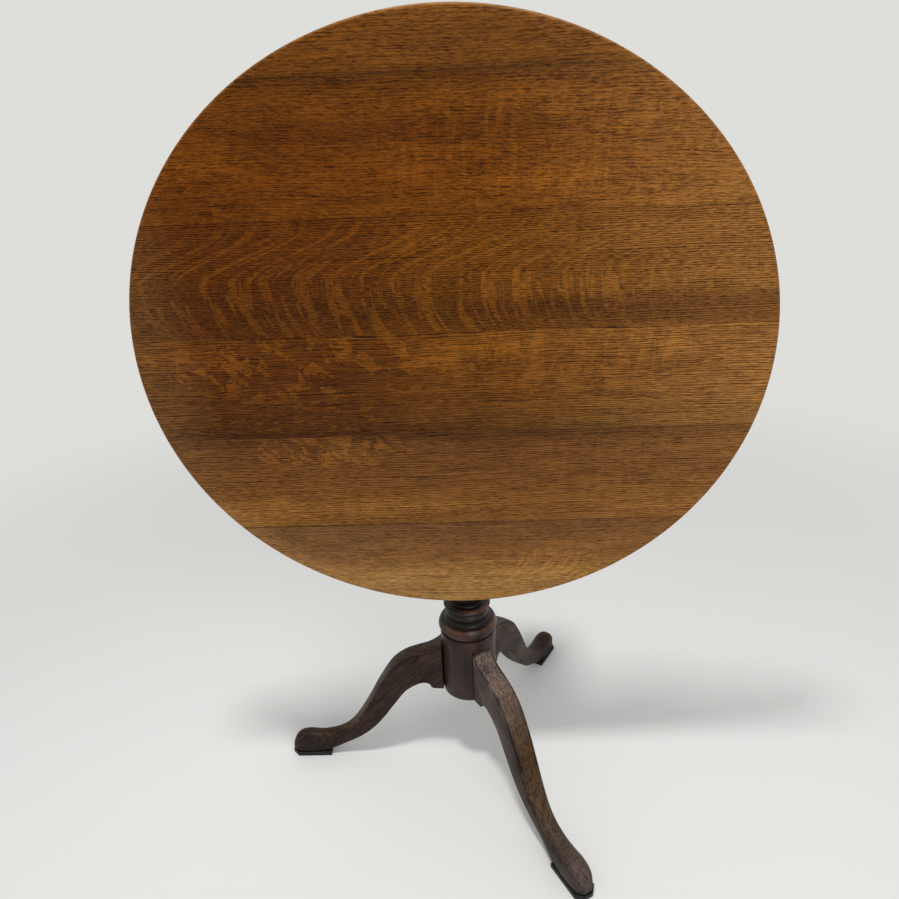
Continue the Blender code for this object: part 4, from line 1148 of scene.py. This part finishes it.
metalLook = {
    "brass": {"bright": tone(166, 136, 84), "dull": tone(104, 80, 46), "roughness": 0.38, "stain": 9.0},
    "steel": {"bright": tone(128, 122, 116), "dull": tone(72, 62, 54), "roughness": 0.46, "stain": 2.5},
    "scratches": (7.0, 0.35, 3.0),
    "bump": 0.00001,
}


def metalFinish(name):
    look = metalLook[name]
    bright, roughness, scale = look["bright"], look["roughness"], look["stain"]
    material, shader = newFinish(f"dull {name}")
    place = millimetres(shader)
    stains = noise(place, (scale, scale, scale), (0, 0, 0), 5.0, 0.6)
    scratches = noise(place, metalLook["scratches"], (1.0, 0, 0), 2.0, 0.6)
    colour = ramp(stains, [(0.36, look["dull"]), (0.62, bright)])
    colour = blend(fade(scratches, 0.55, 0.7, 0.0, 0.4), colour, bright)
    gloss = fade(stains, 0.3, 0.7, roughness + 0.16, roughness - 0.06)
    gloss += fade(scratches, 0.4, 0.7, 0.06, -0.06)
    surface(shader, colour, gloss, stains + scratches, metalLook["bump"])
    shader.inputs["Metallic"].default_value = 1.0
    return material


brass, steel = metalFinish("brass"), metalFinish("steel")
for node in ("strike_plate", "catch_case", "catch_bolt"):
    dress(node, brass)


screwLook = {
    "bearer": {"head": 0.0042, "shank": 0.0022, "cone": 0.0026, "slot": 0.0009},
    "small": {"head": 0.00294, "shank": 0.00154, "cone": 0.00182, "slot": 0.00063},
    "segments": 36,
    "wear": 0.0001,               # at the head's arris and the point
    "turnStep": 137.5,            # degrees from one slot to the next
}


def screwMesh(size, length):
    # the head's face at height 0, the point below it
    head, shank, cone, wear = size["head"], size["shank"], size["cone"], screwLook["wear"]
    line = [(0.0, -length), (shank * 0.3, 3 * wear - length), (shank, 2 * shank - length)]
    line += [(shank, -cone), (head - 2 * wear, -3 * wear), (head - wear, 0.0), (head * 0.5, 0.0),
             (0.0, 0.0)]
    return newMesh("screw", turned(line, screwLook["segments"]))


def addScrew(node, size, place, length, body, finish, number):
    turn = aboutZ(screwLook["turnStep"] * number)
    name = node.replace("screw", "slotted_screw")
    piece = addPiece(name, screwMesh(size, length), place @ turn, body, finish, node, 35.0)
    wide = size["slot"] / 2
    reach = size["head"] * 1.2
    cut = boxWork((-reach, -wide, -size["cone"] * 0.45), (reach, wide, 0.001))
    carve(piece, newMesh("slot", cut), place @ turn)
    smoothShading(piece, 35.0)


topScrews = [(f"bearer_{side}_screw_{index}", "bearer", steel, "dull_steel")
             for side in ("left", "right") for index in range(1, 6)]
topScrews += [(f"catch_screw_{index}", "small", brass, "old_brass") for index in range(1, 5)]
for number, (node, kind, finish, slot) in enumerate(topScrews):
    head, length = hung(node)
    head = head @ Matrix.Rotation(pi, 4, "X")
    addScrew(node, screwLook[kind], head, length, "top", finish, number)
for index in range(1, 3):
    node = f"strike_screw_{index}"
    low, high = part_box(node)
    middle = (low + high) / 2
    head = Matrix.Translation((middle.x, high.y, middle.z)) @ Matrix.Rotation(-pi / 2, 4, "X")
    number = len(topScrews) + index - 1
    addScrew(node, screwLook["small"], head, high.y - low.y, "root", brass, number)
print("screws done")


knobLook = {"radius": 0.0075, "stem": 0.0022, "height": 0.012, "segments": 64}
springLook = {"radius": 0.0029, "wire": 0.0009, "turns": 6, "perTurn": 32, "keep": 0.35}

knobPlace, knobLength = hung("catch_knob")
r, s, h = knobLook["radius"], knobLook["stem"], knobLook["height"]
line = [(0.0, 0.0), (r * 0.35, 0.00005)]
line += arc(line[-1], (r * 0.55, 0.0), (r * 0.65, 0.0003), 3)
line += arc(line[-1], (r * 1.1, 0.0012), (r, h * 0.45), 10)
line += arc(line[-1], (r * 0.7, h * 0.6), (s * 1.5, h * 0.7), 8)
line += [(s * 1.5, h), (s, h), (s, knobLength), (0.0, knobLength)]
addPiece("brass_knob", newMesh("knob", turned(line, knobLook["segments"])), knobPlace, "catch_bolt",
         brass, "catch_knob")

low, high = levelBox("catch_spring")
middle = (low + high) / 2
coil = bpy.data.curves.new("coil", "CURVE")
coil.dimensions = "3D"
coil.bevel_depth = springLook["wire"] / 2
coil.bevel_resolution = 3
coil.use_fill_caps = True
wire = coil.splines.new("POLY")
count = springLook["turns"] * springLook["perTurn"] + 1
wire.points.add(count - 1)
run = high.y - low.y - springLook["wire"]
for i, point in enumerate(wire.points):
    angle = 2 * pi * i / springLook["perTurn"]
    along = low.y + springLook["wire"] / 2 + run * i / (count - 1)
    point.co = (middle.x + springLook["radius"] * cos(angle), along,
                middle.z + springLook["radius"] * sin(angle), 1.0)
coilGuide = link("coilGuide", coil)
bpy.context.view_layer.update()
shape = coilGuide.evaluated_get(bpy.context.evaluated_depsgraph_get())
springMesh = bpy.data.meshes.new_from_object(shape)
bpy.data.objects.remove(coilGuide)
spring = addPiece("coil_spring", springMesh, levelFrame, "top", steel, "catch_spring", 60.0)
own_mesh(spring)
print("catch done")


stageLook = {
    "floorSize": 30.0,
    "floor": tone(222, 222, 220),
    "specks": tone(205, 205, 203),
    "background": tone(222, 222, 219),
    "speckSize": (300, 300, 300),
    "fadeOut": (700.0, 2200.0),   # millimetres from the column
    "ambient": 0.55,
    "aim": (0.0, -0.05, 0.55),
    "key": {"place": (-0.25, -0.57, 2.58), "size": 0.30, "watts": 30.0},
    "front": {"place": (1.3, -2.9, 1.8), "size": 2.2, "watts": 44.0},
}


def seenDirectly(tree):
    rays = put("LightPath", {}, tree=tree).socket.node.outputs
    return calc("MAXIMUM", Wire(rays["Is Camera Ray"]), Wire(rays["Is Glossy Ray"]))


def floorFinish():
    # the floor runs out into the background's own tone, away from the table and its shadow
    material, shader = newFinish("pale floor")
    place = millimetres(shader)
    specks = noise(place, stageLook["speckSize"], (0, 0, 0), 4.0)
    speckled = fade(specks, 0.3, 0.7, 0.0, 0.05)
    colour = blend(speckled, stageLook["floor"], stageLook["specks"])
    feed(colour, shader.inputs["Base Color"])
    shader.inputs["Roughness"].default_value = 0.6
    tree = shader.id_data
    far = fade(vectorLength(place), *stageLook["fadeOut"]) * seenDirectly(tree)
    backdrop = put("Emission", {"Color": stageLook["background"], "Strength": 1.0}, tree=tree)
    mixed = put("MixShader", {0: far, 1: Wire(shader.outputs[0]), 2: backdrop})
    feed(mixed, tree.nodes["Material Output"].inputs["Surface"])
    return material


half = stageLook["floorSize"] / 2
corners = [(-half, -half), (half, -half), (half, half), (-half, half)]
floorMesh = newMesh("floor", slabWork(corners, -0.02, 0.0))
floor = link("floor", floorMesh)
floorMesh.materials.append(floorFinish())

for name in ("key", "front"):
    look = stageLook[name]
    lamp = bpy.data.lights.new(name, "AREA")
    lamp.shape = "DISK"
    lamp.size = look["size"]
    lamp.energy = look["watts"]
    light = link(name, lamp)
    light.location = look["place"]
    aim = Vector(stageLook["aim"]) - light.location
    light.rotation_euler = aim.to_track_quat("-Z", "Y").to_euler()

world = bpy.data.worlds.new("studio")
bpy.context.scene.world = world
world.use_nodes = True
sky = world.node_tree
background = sky.nodes["Background"]
background.inputs["Color"].default_value = (1.0, 1.0, 1.0, 1.0)
background.inputs["Strength"].default_value = stageLook["ambient"]
seen = put("Background", {"Color": stageLook["background"], "Strength": 1.0}, tree=sky)
choose = put("MixShader", {0: seenDirectly(sky), 1: Wire(background.outputs[0]), 2: seen})
feed(choose, sky.nodes["World Output"].inputs["Surface"])

cameraLook = {
    "place": (0.0334, -1.0102, 1.0419),
    "down": 24.184,
    "yaw": -2.074,
    "roll": -2.575,
    "lens": 29.953,
    "sensor": 36.0,
    "nearest": 0.01,
    "shiftX": -0.00945,
}
down, yaw, roll = (radians(cameraLook[k]) for k in ("down", "yaw", "roll"))
ahead = Vector((sin(yaw) * cos(down), cos(yaw) * cos(down), -sin(down)))
level = Vector((cos(yaw), -sin(yaw), 0.0))
upright = level.cross(ahead)
right = cos(roll) * level + sin(roll) * upright
up = cos(roll) * upright - sin(roll) * level
lens = bpy.data.cameras.new("camera")
lens.lens = cameraLook["lens"]
lens.sensor_width = cameraLook["sensor"]
lens.shift_x = cameraLook["shiftX"]
lens.clip_start = cameraLook["nearest"]
camera = link("camera", lens)
turn = Matrix((right, up, -ahead)).transposed().to_4x4()
camera.matrix_world = Matrix.Translation(cameraLook["place"]) @ turn
bpy.context.scene.camera = camera
bpy.context.scene.view_settings.view_transform = "Standard"
print("stage done")
